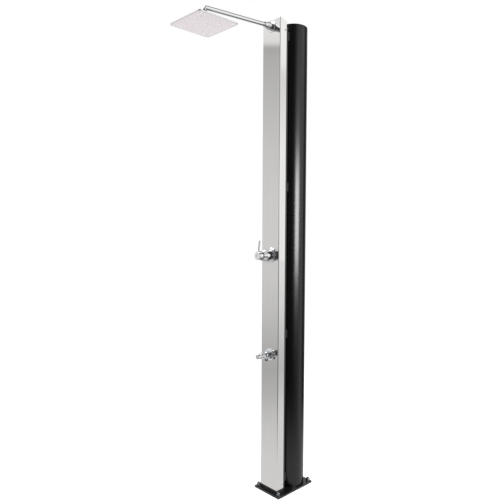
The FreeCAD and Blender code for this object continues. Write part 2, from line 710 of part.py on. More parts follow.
def pipe_clips():
    """Combs that rest on the channel's front edges and hold the three pipes."""
    clips = []
    low = TAP_Z + CLIP_MARGIN
    high = PORT_HIGH - CLIP_MARGIN
    half = CHANNEL_W / 2 - 2
    for k in range(CLIP_COUNT):
        z = low + (high - low) * (k + 0.5) / CLIP_COUNT
        if abs(z - MIXER_Z) < CLIP_ROOM:
            z = MIXER_Z + CLIP_ROOM
        clip = block((-half, PIPE_Y - PIPE_R - 3, z), (half, CHANNEL_FRONT, z + CLIP_H))
        for x in (-PIPE_SPACING, 0, PIPE_SPACING):
            clip = clip.cut(rod(PIPE_R + SLIP, Vector(x, PIPE_Y, z), UP, CLIP_H))
        clips.append(clip)
    return group(clips)


def boss(x, z, direction):
    """Pipe boss from a fitting's middle plane."""
    return rod(FITTING_R, Vector(x, PIPE_Y, z), direction, BOSS_END)


def pipe_hole(x, z, direction, reach):
    """Stepped hole for one pipe: its socket and the smaller waterway behind it."""
    mouth = Vector(x, PIPE_Y, z) + direction * reach
    socket = rod(PIPE_R + SLIP, mouth, direction * -1, PIPE_SOCKET)
    return socket.fuse(rod(PIPE_R - PIPE_WALL, mouth, direction * -1, reach))


def foot_tee():
    """Cast tee in the cold pipe, with a socket that faces the front for the foot tap."""
    x = PIPE_SPACING
    tee = rod(FITTING_R, Vector(x, PIPE_Y, TAP_Z - TEE_HALF), UP, 2 * TEE_HALF)
    tee = tee.fuse(rod(FITTING_R - 1, Vector(0, PIPE_Y, TAP_Z), SIDE, x))
    front = FACE_Y + COVER_T + 6
    tee = tee.fuse(rod(TAP_TAIL_R + 3.5, Vector(0, front, TAP_Z), BACK, PIPE_Y + FITTING_R - front))
    tee = tee.cut(rod(TAP_TAIL_R + SLIP, Vector(0, front, TAP_Z), BACK, FACE_Y + TAP_TAIL + 1 - front))
    tee = tee.cut(pipe_hole(x, TAP_Z, UP, TEE_HALF)).cut(pipe_hole(x, TAP_Z, DOWN, TEE_HALF))
    return tee.cut(rod(PIPE_R - PIPE_WALL, Vector(0, PIPE_Y, TAP_Z), SIDE, x))


# ---- mixer ----
def at_mixer():
    return Vector(0, FACE_Y, MIXER_Z)


def mixer_body():
    """Cast body: pipe bosses behind the cover, flange, neck through the cover and cartridge well."""
    origin = at_mixer()
    body = turned([(-PIPE_DEPTH - FITTING_R, 0), (-PIPE_DEPTH - FITTING_R, MIXER_BODY_R - 2),
                   (-PIPE_DEPTH - FITTING_R + 2, MIXER_BODY_R), (-COVER_T - 5, MIXER_BODY_R),
                   (-COVER_T - 5, MIXER_BODY_R + 7), (-COVER_T, MIXER_BODY_R + 7),
                   (-COVER_T, MIXER_BODY_R), (MIXER_BODY_REACH, MIXER_BODY_R), (MIXER_BODY_REACH, 0)],
                  origin, OUT)
    wing = rod(FITTING_R, Vector(-PIPE_SPACING, PIPE_Y, MIXER_Z), SIDE, 2 * PIPE_SPACING)
    body = body.fuse(wing)
    for x, direction in ((-PIPE_SPACING, UP), (0, UP), (PIPE_SPACING, DOWN)):
        body = body.fuse(boss(x, MIXER_Z, direction))
    well = turned([(CARTRIDGE_BACK, 0), (CARTRIDGE_BACK, CARTRIDGE_R + SLIP),
                   (MIXER_BODY_REACH - 6, CARTRIDGE_R + SLIP), (MIXER_BODY_REACH - 6, MIXER_BODY_R - 3),
                   (MIXER_BODY_REACH, MIXER_BODY_R - 3), (MIXER_BODY_REACH, 0)], origin, OUT)
    body = body.cut(well)
    for x, direction in ((-PIPE_SPACING, UP), (0, UP), (PIPE_SPACING, DOWN)):
        body = body.cut(pipe_hole(x, MIXER_Z, direction, BOSS_END))
    return body


def mixer_locknut():
    """Ring nut under the rose that clamps the body to the cover."""
    nut = hexagon(LOCKNUT_AF, at_mixer(), OUT, LOCKNUT_H)
    return nut.cut(rod(MIXER_BODY_R + SLIP, at_mixer(), OUT, LOCKNUT_H))


def mixer_rose():
    """Domed cover plate with a turned edge, hollow over the locknut."""
    radius = MIXER_ROSE_R
    height = MIXER_ROSE_T
    bore = SLEEVE_R - 2
    return turned([(0, radius), (1.5, radius), ((height * 0.62, radius - 3.2), (height - 1, SLEEVE_R + 2.5)),
                   (height - 1, SLEEVE_R), (height, SLEEVE_R), (height, bore), (height - 2, bore),
                   ((height * 0.5, radius - 6), (0, radius - 2.2))], at_mixer(), OUT)


def mixer_sleeve():
    """Bright sleeve: straight at the rose, drawn in to a narrow mouth at the handle."""
    mouth = HANDLE_R + 1.3
    mouth_out = mouth + SLEEVE_T
    inner = SLEEVE_R - SLEEVE_T
    start = MIXER_ROSE_T
    bend = 4.0
    return turned([(start, SLEEVE_R), (SLEEVE_STRAIGHT - bend, SLEEVE_R),
                   ((SLEEVE_STRAIGHT + 0.2, SLEEVE_R - 0.7), (SLEEVE_STRAIGHT + bend, SLEEVE_R - 1.9)),
                   (SLEEVE_REACH - 1, mouth_out), (SLEEVE_REACH, mouth_out - 0.8), (SLEEVE_REACH, mouth),
                   (SLEEVE_REACH - 1.5, mouth), (SLEEVE_STRAIGHT, inner), (start, inner)],
                  at_mixer(), OUT)


def sleeve_seal():
    """Rubber ring between the body's neck and the sleeve."""
    return sleeve(SLEEVE_R - SLEEVE_T - SLIP, MIXER_BODY_R + SLIP, at_mixer() + OUT * 24, OUT, 4)


def cartridge_housing():
    """Ceramic cartridge: its shell and the collar in which the turret turns."""
    top = CARTRIDGE_BACK + CARTRIDGE_H
    end = top + COLLAR_H
    bore = TURRET_R + FREE
    return turned([(CARTRIDGE_BACK, 0), (CARTRIDGE_BACK, CARTRIDGE_R), (top, CARTRIDGE_R), (top, COLLAR_R),
                   (end, COLLAR_R), (end, bore), (end - 4, bore), (end - 4, TURRET_NECK_R - 1),
                   (end - 10, TURRET_NECK_R - 1), (end - 10, 0)], at_mixer(), OUT)


def cartridge_nut():
    """Hexagon nut that presses the cartridge into its well."""
    origin = at_mixer()
    top = CARTRIDGE_BACK + CARTRIDGE_H
    nut = rod(MIXER_BODY_R - 3 - SLIP, origin + OUT * (MIXER_BODY_REACH - 5.8), OUT, 6)
    height = top + 3 - MIXER_BODY_REACH
    nut = nut.fuse(hexagon(CARTRIDGE_NUT_AF, origin + OUT * MIXER_BODY_REACH, OUT, height))
    nut = nut.cut(rod(CARTRIDGE_R + SLIP, origin, OUT, top))
    return nut.cut(rod(COLLAR_R + SLIP, origin, OUT, top + 5))


def cartridge_turret():
    """Turning head of the cartridge, slotted for the stem and cross-drilled for its pin."""
    low = CARTRIDGE_BACK + CARTRIDGE_H + COLLAR_H - 4 + FREE
    shelf = low + 4
    top = SLEEVE_REACH + 4
    turret = turned([(low, 0), (low, TURRET_R), (shelf, TURRET_R), (shelf, TURRET_NECK_R),
                     (top, TURRET_NECK_R), (top, 0)], at_mixer(), OUT)
    half = TURRET_SLOT / 2
    slot = block((-half, FACE_Y - top - 1, MIXER_Z - TURRET_R - 1),
                 (half, PIVOT.y + STEM_W / 2 + 1, MIXER_Z + TURRET_R + 1))
    pin = rod(STEM_PIN_R + SLIP, PIVOT - SIDE * TURRET_R, SIDE, 2 * TURRET_R)
    return turret.cut(slot).cut(pin)


def cartridge_pin():
    """Cross pin on which the stem tilts."""
    length = 2 * TURRET_NECK_R - 1
    return rod(STEM_PIN_R, PIVOT - SIDE * (length / 2), SIDE, length)


def cartridge_stem():
    """Square stem, drilled for the cross pin, that carries the handle."""
    half = STEM_W / 2
    top = HANDLE_CAVITY_REACH + STEM_GRIP
    stem = block((-half, PIVOT.y - top, MIXER_Z - half), (half, PIVOT.y + half, MIXER_Z + half))
    foot = rod(half, PIVOT - SIDE * half, SIDE, STEM_W)
    stem = stem.cut(block((-half, PIVOT.y, MIXER_Z - half), (half, PIVOT.y + half, MIXER_Z + half)))
    return stem.fuse(foot).cut(rod(STEM_PIN_R + RUN, PIVOT - SIDE * STEM_W, SIDE, 2 * STEM_W))


def lever_axis():
    """Foot of the lever on the mixer's axis and its direction."""
    lean = math.radians(LEVER_LEAN)
    return PIVOT + OUT * LEVER_OFFSET, Vector(0, math.sin(lean), math.cos(lean))


def mixer_handle():
    """Turned handle: round front, hollow ball-shaped end in the sleeve's mouth, socket for the stem."""
    radius = HANDLE_R
    tail_r = math.sqrt(radius ** 2 - HANDLE_TAIL ** 2)
    mid = HANDLE_TAIL / 2
    edge = HANDLE_EDGE_R
    soft = edge * (1 - math.sqrt(0.5))
    front = HANDLE_REACH
    handle = turned([(-HANDLE_TAIL, tail_r), ((-mid, math.sqrt(radius ** 2 - mid ** 2)), (0, radius)),
                     (front - edge, radius), ((front - soft, radius - soft), (front, radius - edge)),
                     (front, 6), (front - 1, 0), (HANDLE_CAVITY_REACH, 0),
                     (HANDLE_CAVITY_REACH, HANDLE_CAVITY_R), (-HANDLE_TAIL, HANDLE_CAVITY_R)], PIVOT, OUT)
    half = STEM_W / 2 + SLIP
    socket = block((-half, PIVOT.y - HANDLE_CAVITY_REACH - STEM_GRIP - 1, MIXER_Z - half),
                   (half, PIVOT.y - HANDLE_CAVITY_REACH + 1, MIXER_Z + half))
    foot, along = lever_axis()
    lever_hole = rod(LEVER_R + SLIP, foot + along * (STEM_W / 2 + 2), along, HANDLE_R)
    grub_hole = rod(GRUB_R + SLIP, foot, DOWN, HANDLE_R + 2)
    return handle.cut(socket).cut(lever_hole).cut(grub_hole)


def lever_pin():
    """Straight lever with a domed end, screwed into the handle."""
    foot, along = lever_axis()
    start = STEM_W / 2 + 2.2
    end = LEVER_TOP / along.z
    dome = LEVER_R * (1 - math.sqrt(0.5))
    return turned([(start, 0), (start, LEVER_R), (end - LEVER_R, LEVER_R),
                   ((end - dome, LEVER_R - dome), (end, 0))], foot, along)


def handle_screw():
    """Grub screw under the handle that grips the stem."""
    foot, _ = lever_axis()
    start = foot + DOWN * (STEM_W / 2)
    screw = rod(GRUB_R, start, DOWN, HANDLE_R - STEM_W / 2 - 1.5)
    return screw.cut(hexagon(2.5, foot + DOWN * (HANDLE_R - 4), DOWN, 4))


# ---- foot-wash tap ----
def at_tap():
    return Vector(0, FACE_Y, TAP_Z)


def tap_rose():
    radius = TAP_ROSE_R
    height = TAP_ROSE_T
    bore = TAP_NECK_R + SLIP
    return turned([(0, radius), (1.2, radius), ((height * 0.7, radius - 4), (height, radius - 10)),
                   (height, bore), (0, bore)], at_tap(), OUT)


def tap_body():
    """Cast body: threaded tail through the cover, neck, round belly and downward outlet."""
    origin = at_tap()
    belly = TAP_BELLY_R
    front = HEADWORK_END - 6
    reach = math.sqrt(belly ** 2 - (front - TAP_BELLY_AT) ** 2)
    meet = TAP_BELLY_AT - math.sqrt(belly ** 2 - TAP_NECK_R ** 2)
    body = turned([(-TAP_TAIL, 0), (-TAP_TAIL, TAP_TAIL_R), (0, TAP_TAIL_R), (0, TAP_NECK_R),
                   (meet, TAP_NECK_R), ((TAP_BELLY_AT, belly), (front, reach)), (front, 0)], origin, OUT)
    spout = origin + OUT * TAP_BELLY_AT
    body = body.fuse(rod(TAP_OUTLET_R, spout, DOWN, TAP_OUTLET_DROP))
    body = body.cut(rod(TAP_BORE_R, origin + BACK * TAP_TAIL, OUT, TAP_TAIL + TAP_BELLY_AT))
    body = body.cut(rod(HEADWORK_AF / 2 - 3, origin + OUT * (TAP_BELLY_AT - 4), OUT, 30))
    return body.cut(rod(TAP_BORE_R, spout, DOWN, TAP_OUTLET_DROP))


def tap_aerator():
    """Screwed outlet ring with its insert."""
    start = at_tap() + OUT * TAP_BELLY_AT + DOWN * (TAP_OUTLET_DROP - 5)
    ring = turned([(0, TAP_OUTLET_R + SLIP), (0, AERATOR_R), (AERATOR_H - 1, AERATOR_R),
                   (AERATOR_H, AERATOR_R - 1), (AERATOR_H, TAP_BORE_R + 1), (5.2, TAP_BORE_R + 1),
                   (5.2, TAP_OUTLET_R + SLIP)], start, DOWN)
    insert = rod(TAP_BORE_R + 1, start + DOWN * 5.2, DOWN, 2.5)
    for k in range(6):
        angle = math.radians(60 * k)
        hole = start + Vector(3.6 * math.cos(angle), 3.6 * math.sin(angle), 0)
        insert = insert.cut(rod(1.0, hole, DOWN, 12))
    return ring.fuse(insert)


def tap_headwork():
    """Quarter-turn ceramic valve with its hexagon."""
    origin = at_tap()
    work = hexagon(HEADWORK_AF, origin + OUT * (HEADWORK_END - 6), OUT, 4)
    work = work.fuse(rod(HEADWORK_AF / 2 - 3 - SLIP, origin + OUT * TAP_BELLY_AT, OUT,
                         HEADWORK_END + 6 - TAP_BELLY_AT))
    return work.cut(rod(SPINDLE_R + RUN, origin + OUT * (TAP_BELLY_AT + 4), OUT, 40))


def tap_spindle():
    """Valve spindle that the knob turns."""
    start = at_tap() + OUT * (TAP_BELLY_AT + 4 + FREE)
    return rod(SPINDLE_R, start, OUT, KNOB_END - 20 - TAP_BELLY_AT - 4)


def tap_knob():
    """Bell-shaped knob: fluted skirt over the valve, drawn in to a slim nose."""
    origin = at_tap()
    inner = KNOB_R - KNOB_WALL
    shoulder = KNOB_START + 20
    edge = 1.5
    soft = edge * (1 - math.sqrt(0.5))
    knob = turned([(KNOB_START, inner), (KNOB_START, KNOB_R - 1), (KNOB_START + 1, KNOB_R),
                   (KNOB_START + KNOB_SKIRT, KNOB_R - 0.6),
                   ((shoulder + 1, KNOB_NOSE_R + 1.8), (shoulder + 8, KNOB_NOSE_R - 0.5)),
                   (KNOB_END - edge, KNOB_NOSE_R), ((KNOB_END - soft, KNOB_NOSE_R - soft),
                                                    (KNOB_END, KNOB_NOSE_R - edge)),
                   (KNOB_END, 0), (KNOB_END - 19, 0), (KNOB_END - 19, SPINDLE_R + 4),
                   (HEADWORK_END + 7, SPINDLE_R + 5), (HEADWORK_END + 7, inner - 1),
                   (HEADWORK_END + 2, inner)], origin, OUT)
    for k in range(KNOB_FLUTES):
        angle = 2 * math.pi * (k + 0.5) / KNOB_FLUTES
        axis = KNOB_R + KNOB_FLUTE_R - 0.8
        flute = origin + Vector(axis * math.cos(angle), 0, axis * math.sin(angle))
        knob = knob.cut(rod(KNOB_FLUTE_R, flute + OUT * (KNOB_START - 1), OUT, KNOB_SKIRT + 3))
    core = sleeve(SPINDLE_R + 4.5, SPINDLE_R + SLIP, origin + OUT * (HEADWORK_END + 7), OUT,
                  KNOB_END - 18 - HEADWORK_END - 7)
    return knob.fuse(core)


# ---- shower arm ----
def at_arm():
    return Vector(0, FACE_Y, ARM_Z)


def arm_socket():
    """Cast elbow behind the cover: the riser enters below, the threaded nipple passes the cover."""
    origin = at_arm()
    heart = FITTING_R + 1.5
    back = PIPE_DEPTH + heart
    socket = turned([(-back, 0), (-back, heart), (-COVER_T - 5, heart), (-COVER_T - 5, 19),
                     (-COVER_T, 19), (-COVER_T, ARM_NIPPLE_R), (ARM_NIPPLE_REACH, ARM_NIPPLE_R),
                     (ARM_NIPPLE_REACH, 0)], origin, OUT)
    socket = socket.fuse(rod(FITTING_R, Vector(0, PIPE_Y, ARM_Z), DOWN, SOCKET_DROP))
    socket = socket.cut(rod(ARM_R + SLIP, origin + BACK * 4, OUT, 40))
    socket = socket.cut(rod(PIPE_R - PIPE_WALL, origin + BACK * PIPE_DEPTH, OUT, PIPE_DEPTH))
    return socket.cut(pipe_hole(0, ARM_Z, DOWN, SOCKET_DROP))


def arm_rose():
    return turned([(0, ARM_ROSE_R), (1, ARM_ROSE_R), (ARM_ROSE_T, ARM_ROSE_R - 3),
                   (ARM_ROSE_T, ARM_NIPPLE_R + SLIP), (0, ARM_NIPPLE_R + SLIP)], at_arm(), OUT)


def arm_collar():
    """Bell-shaped nut that clamps the arm and narrows to its tube."""
    wide = ARM_COLLAR_R
    end = ARM_COLLAR_REACH
    tight = ARM_R + SLIP
    start = ARM_ROSE_T
    return turned([(start, ARM_NIPPLE_R + SLIP), (start, wide), (start + 12, wide),
                   ((start + 24, wide - 2.4), (end - 6, ARM_R + 3.4)), (end, ARM_R + 2.2),
                   (end, ARM_R + 1.9), (ARM_NIPPLE_REACH + 14, tight), (ARM_NIPPLE_REACH + 1, tight),
                   (ARM_NIPPLE_REACH + 1, ARM_NIPPLE_R + SLIP)], at_arm(), OUT)


def arm_points():
    """Axis of the arm: level at the collar, a slight fall, and the leg down to the swivel."""
    fall = math.tan(math.radians(ARM_FALL))
    start = at_arm() + BACK * 3
    knee = at_arm() + OUT * ARM_STRAIGHT
    corner = Vector(0, HEAD_Y, ARM_Z - fall * (ARM_REACH - ARM_STRAIGHT))
    return [start, knee, corner, Vector(0, HEAD_Y, BALL_Z + SWIVEL_HEX_GAP + 2)]


def shower_arm():
    """One bent tube: the slight fall starts at the collar, the tight bend is above the head."""
    return pipe(arm_points(), [ARM_SOFT_BEND_R, ARM_BEND_R], ARM_R, ARM_WALL)


# ---- swivel and shower head ----
def at_ball():
    return Vector(0, HEAD_Y, BALL_Z)


def swivel_ball():
    """Hexagon screwed on the arm's end, neck and hollow ball in one turned piece."""
    origin = at_ball()
    neck_at = math.sqrt(BALL_R ** 2 - BALL_NECK_R ** 2)
    gap = SWIVEL_HEX_GAP
    ball = turned([(-BALL_R, 0), ((0, BALL_R), (neck_at, BALL_NECK_R)), (gap - 3, BALL_NECK_R),
                   (gap, SWIVEL_AF / 2 - 1), (gap + 1, SWIVEL_AF / 2 - 1), (gap + 1, 0)], origin, UP)
    ball = ball.fuse(hexagon(SWIVEL_AF, origin + UP * gap, UP, SWIVEL_HEX_H))
    ball = ball.cut(rod(ARM_R + SLIP, origin + UP * (gap + 2), UP, SWIVEL_HEX_H))
    return ball.cut(rod(BALL_BORE_R, origin + DOWN * BALL_R, UP, gap + BALL_R + 3))


def ball_ring(low, high, inner, outer):
    """Ring cut from a hollow ball between two heights above its centre."""
    mid = (low + high) / 2
    at = [(h, math.sqrt(r ** 2 - h ** 2)) for h, r in
          ((low, outer), (mid, outer), (high, outer), (high, inner), (mid, inner), (low, inner))]
    return turned([at[0], (at[1], at[2]), at[3], (at[4], at[5])], at_ball(), UP)


def swivel_washer():
    """Upper plastic ring, between the ball and the nut."""
    inner = BALL_R + FREE
    return ball_ring(RING_LOW, RING_HIGH, inner, inner + RING_T)


def swivel_seat():
    """Lower plastic ring, between the ball and the head."""
    inner = BALL_R + FREE
    return ball_ring(-RING_HIGH, -RING_LOW, inner, inner + RING_T)


def socket_r():
    """Radius of the hollow in the head and the nut round the two rings."""
    return BALL_R + 2 * FREE + RING_T


def head_shell():
    """Slim pan with a raised centre that forms the lower half of the ball socket."""
    half = HEAD_SIDE / 2
    pan = rectangle(half, HEAD_Y - half, HEAD_Y + half, HEAD_CORNER_R, HEAD_CORNER_R, HEAD_FACE_Z)
    pan = pan.extrude(UP * HEAD_T)
    inner = half - HEAD_WALL
    radius = HEAD_CORNER_R - HEAD_WALL
    hollow = rectangle(inner, HEAD_Y - inner, HEAD_Y + inner, radius, radius, HEAD_FACE_Z)
    top_edges = [e for e in pan.Edges if e.BoundBox.ZMin > HEAD_TOP_Z - 1e-6]
    pan = pan.makeFillet(1.5, top_edges)
    low = HEAD_TOP_Z - BALL_Z
    raised = turned([(low - 1, 0), (low - 1, 30), (low, 30), ((low + 1.2, 24), (low + 3, 19)),
                     (low + 3, BOSS_R), (0, BOSS_R), (0, 0)], at_ball(), UP)
    shell = pan.cut(hollow.extrude(UP * (HEAD_T - HEAD_WALL + 0.5))).fuse(raised)
    ball = Part.makeSphere(socket_r(), at_ball())
    return shell.cut(ball).cut(rod(BALL_BORE_R + 1.5, Vector(0, HEAD_Y, HEAD_FACE_Z), UP, 18))


def swivel_nut():
    """Knurled-type ring nut that closes the ball socket from above."""
    top = NUT_ABOVE_BALL
    low = HEAD_TOP_Z + 4 - BALL_Z
    nut = turned([(low, BOSS_R + SLIP), (low, NUT_R), (top - 3, NUT_R), ((top - 0.9, NUT_R - 1.2),
                                                                         (top, NUT_R - 4)),
                  (top, 0), (0.2, 0), (0.2, BOSS_R + SLIP)], at_ball(), UP)
    nut = nut.cut(Part.makeSphere(socket_r(), at_ball()))
    lean = math.radians(HEAD_TILT * math.sqrt(2))
    waist = RING_HIGH * math.tan(lean) + (BALL_NECK_R + NECK_ROOM) / math.cos(lean)
    brim = waist + (top + 1 - RING_HIGH) * math.tan(lean)
    nut = nut.cut(turned([(0, 0), (0, waist), (RING_HIGH, waist), (top + 1, brim), (top + 1, 0)],
                         at_ball(), UP))
    for k in range(NUT_GROOVES):
        angle = 2 * math.pi * k / NUT_GROOVES
        axis = NUT_R + 0.9
        groove = at_ball() + Vector(axis * math.cos(angle), axis * math.sin(angle), low - 1)
        nut = nut.cut(rod(1.6, groove, UP, top - 3 - low + 1))
    return nut


def head_plate():
    """Thin face plate let into the pan's underside."""
    half = HEAD_SIDE / 2 - HEAD_WALL - SLIP
    radius = HEAD_CORNER_R - HEAD_WALL - SLIP
    plate = rectangle(half, HEAD_Y - half, HEAD_Y + half, radius, radius, HEAD_FACE_Z)
    return plate.extrude(UP * FACE_PLATE_T)


def head_nozzles():
    """Soft spray nozzles on a square grid."""
    offset = (NOZZLE_ROWS - 1) / 2
    tip = polygon(NOZZLE_SIDES, NOZZLE_TIP_R, Vector(0, HEAD_Y, HEAD_FACE_Z - NOZZLE_H))
    root = polygon(NOZZLE_SIDES, NOZZLE_R, Vector(0, HEAD_Y, HEAD_FACE_Z))
    nozzle = Part.makeLoft([tip, root], True, True)
    steps = [(k - offset) * NOZZLE_PITCH for k in range(NOZZLE_ROWS)]
    return group([nozzle.translated(Vector(x, y, 0)) for y in steps for x in steps])


PIECES = [
    base_plate, anchor_washers, anchor_nuts, tank_screws, foot_screws,
    front_foot, front_cover, cover_brackets, cover_screws, mounting_channel, channel_cap,
    tank_saddles, channel_screws, tank_tube, tank_base, tank_lid, tank_nipples, inlet_socket,
    drain_plug, drain_seal, cold_pipe_lower, cold_pipe_upper, hot_pipe, riser_pipe, pipe_clips,
    foot_tee, mixer_body, mixer_locknut, mixer_rose, mixer_sleeve, sleeve_seal, cartridge_housing,
    cartridge_nut, cartridge_turret, cartridge_pin, cartridge_stem, mixer_handle, lever_pin,
    handle_screw, tap_rose, tap_body, tap_aerator, tap_headwork, tap_spindle, tap_knob, arm_socket,
    arm_rose, arm_collar, shower_arm, swivel_ball, swivel_washer, swivel_seat, swivel_nut,
    head_shell, head_plate, head_nozzles,
]

os.makedirs("parts", exist_ok=True)
for piece in PIECES:
    shape = piece()
    shape.exportStep("parts/" + piece.__name__ + ".step")
    print(piece.__name__, len(shape.Solids), round(shape.Volume / 1000, 2), shape.isValid())
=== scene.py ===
"""Outdoor shower post: a black tank tube and a stainless front cover on a floor plate."""
import json
import logging
import math
from dataclasses import dataclass
from enum import Enum
from typing import Optional, Sequence

import bmesh
import bpy
import numpy as np
from mathutils import Matrix, Vector

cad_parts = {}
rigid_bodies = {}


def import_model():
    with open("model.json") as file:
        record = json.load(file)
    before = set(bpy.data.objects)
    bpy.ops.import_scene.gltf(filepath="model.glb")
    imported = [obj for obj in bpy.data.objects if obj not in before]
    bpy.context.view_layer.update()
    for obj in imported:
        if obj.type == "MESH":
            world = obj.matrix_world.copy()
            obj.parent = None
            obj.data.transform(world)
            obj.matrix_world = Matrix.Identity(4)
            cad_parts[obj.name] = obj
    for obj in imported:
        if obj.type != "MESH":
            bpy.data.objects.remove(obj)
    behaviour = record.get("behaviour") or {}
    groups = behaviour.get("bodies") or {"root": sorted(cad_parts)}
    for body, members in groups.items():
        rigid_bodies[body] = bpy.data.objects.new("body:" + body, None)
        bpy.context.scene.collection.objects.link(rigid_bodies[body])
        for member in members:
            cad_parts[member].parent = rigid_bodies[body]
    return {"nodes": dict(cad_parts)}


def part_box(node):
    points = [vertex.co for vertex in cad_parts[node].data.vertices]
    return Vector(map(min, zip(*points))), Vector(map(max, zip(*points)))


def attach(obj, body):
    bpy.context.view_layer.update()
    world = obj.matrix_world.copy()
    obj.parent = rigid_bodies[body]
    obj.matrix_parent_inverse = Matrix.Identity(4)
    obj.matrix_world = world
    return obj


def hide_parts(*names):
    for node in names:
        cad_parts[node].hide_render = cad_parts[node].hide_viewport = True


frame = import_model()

LOG = logging.getLogger("shower_post")
MM = 0.001
OUT = (0.0, -1.0, 0.0)
UP = (0.0, 0.0, 1.0)
DOWN = (0.0, 0.0, -1.0)
BRIGHTEST = 1.25  # light of a ramp's white: ramps hold shares of it, since their colours end at 1
Point = Sequence[float]
Piece = bpy.types.Object
Tree = bpy.types.NodeTree
Node = bpy.types.Node
Socket = bpy.types.NodeSocket
Stops = tuple[tuple[float, float], ...]


class Body(Enum):
    """Rigid bodies of the post that pieces ride on."""

    COLUMN = "column"
    TURRET = "mixer_turret"
    LEVER = "mixer_lever"
    KNOB = "foot_knob"
    SPINNER = "head_spinner"
    TILTER = "head_tilter"
    HEAD = "head"


# ---------------------------------------------------------------- colours and nodes


def linear(colour: str) -> np.ndarray:
    """Turns an sRGB hex colour into linear light.

    Formula: c / 12.92 below 0.04045, and ((c + 0.055) / 1.055) ** 2.4 above.

    Args:
        colour: Six hex digits after a hash.

    Returns:
        Red, green and blue.
    """
    raw = np.array([int(colour[k:k + 2], 16) for k in (1, 3, 5)]) / 255.0
    return np.where(raw <= 0.04045, raw / 12.92, ((raw + 0.055) / 1.055) ** 2.4)


def add_node(tree: Tree, kind: str, settings: Optional[dict] = None,
             values: Optional[dict] = None, links: Optional[dict] = None) -> Node:
    """Adds one shader node.

    Args:
        tree: Node tree that takes the node.
        kind: Blender's type name of the node, after ShaderNode.
        settings: Attributes of the node.
        values: Constant values by input.
        links: Output sockets by input.

    Returns:
        The new node.
    """
    node = tree.nodes.new("ShaderNode" + kind)
    for key, value in (settings or {}).items():
        setattr(node, key, value)
    for key, value in (values or {}).items():
        node.inputs[key].default_value = value
    for key, socket in (links or {}).items():
        tree.links.new(socket, node.inputs[key])
    return node


def empty_tree(owner: bpy.types.ID) -> Tree:
    """Gives a material or world an empty node tree.

    Args:
        owner: The material or world.

    Returns:
        Its node tree.
    """
    owner.use_nodes = True
    owner.node_tree.nodes.clear()
    return owner.node_tree


def fill_ramp(node: Node, stops: Sequence[tuple[float, Sequence[float]]]) -> Node:
    """Sets the stops of a colour ramp.

    Args:
        node: Colour ramp node.
        stops: Position and colour of each stop, in rising order.

    Returns:
        The same node.
    """
    ramp = node.color_ramp
    while len(ramp.elements) < len(stops):
        ramp.elements.new(0.5)
    for element, (position, colour) in zip(ramp.elements, stops):
        element.position = position
        element.color = (*colour, 1.0)
    return node


def share_of(tree: Tree, value: Socket, low: float, high: float) -> Socket:
    """Adds the share, from 0 to 1, that a value has of the way from low to high."""
    node = add_node(tree, "MapRange", values={"From Min": low, "From Max": high}, links={"Value": value})
    return node.outputs["Result"]


def blended(tree: Tree, kind: str, first: Socket, second: Socket,
            share: Optional[Socket] = None) -> Socket:
    """Blends two colours.

    Args:
        tree: Node tree that takes the node.
        kind: Blender's name of the blend.
        first: Colour below.
        second: Colour above.
        share: Weight of the blend, 1 without it.

    Returns:
        The blended colour.
    """
    links = {6: first, 7: second} if share is None else {0: share, 6: first, 7: second}
    settings = {"data_type": "RGBA", "blend_type": kind}
    return add_node(tree, "Mix", settings, {0: 1.0}, links).outputs[2]


def split_rays(tree: Tree, ray: str, other: Node, chosen: Node) -> Node:
    """Adds a mix that shows one shader to one kind of ray and another to all other rays."""
    path = add_node(tree, "LightPath")
    return add_node(tree, "MixShader",
                    links={0: path.outputs[ray], 1: other.outputs[0], 2: chosen.outputs[0]})


def noise(tree: Tree, size_mm: Point, detail: float, rough: float) -> Socket:
    """Adds noise that is fixed to the object.

    Args:
        tree: Node tree that takes the nodes.
        size_mm: Size of its lumps along X, Y and Z.
        detail: Number of finer layers.
        rough: Weight of the finer layers.

    Returns:
        Its value, from 0 to 1.
    """
    place = add_node(tree, "TexCoord")
    spread = add_node(tree, "Mapping", values={"Scale": tuple(1.0 / (size * MM) for size in size_mm)},
                      links={"Vector": place.outputs["Object"]})
    lumps = add_node(tree, "TexNoise", values={"Scale": 1.0, "Detail": detail, "Roughness": rough},
                     links={"Vector": spread.outputs["Vector"]})
    return lumps.outputs["Fac"]


def relief(tree: Tree, height: Socket, depth_mm: float) -> Node:
    """Adds relief of a depth from heights between 0 and 1."""
    return add_node(tree, "Bump", values={"Strength": 1.0, "Distance": depth_mm * MM},
                    links={"Height": height})


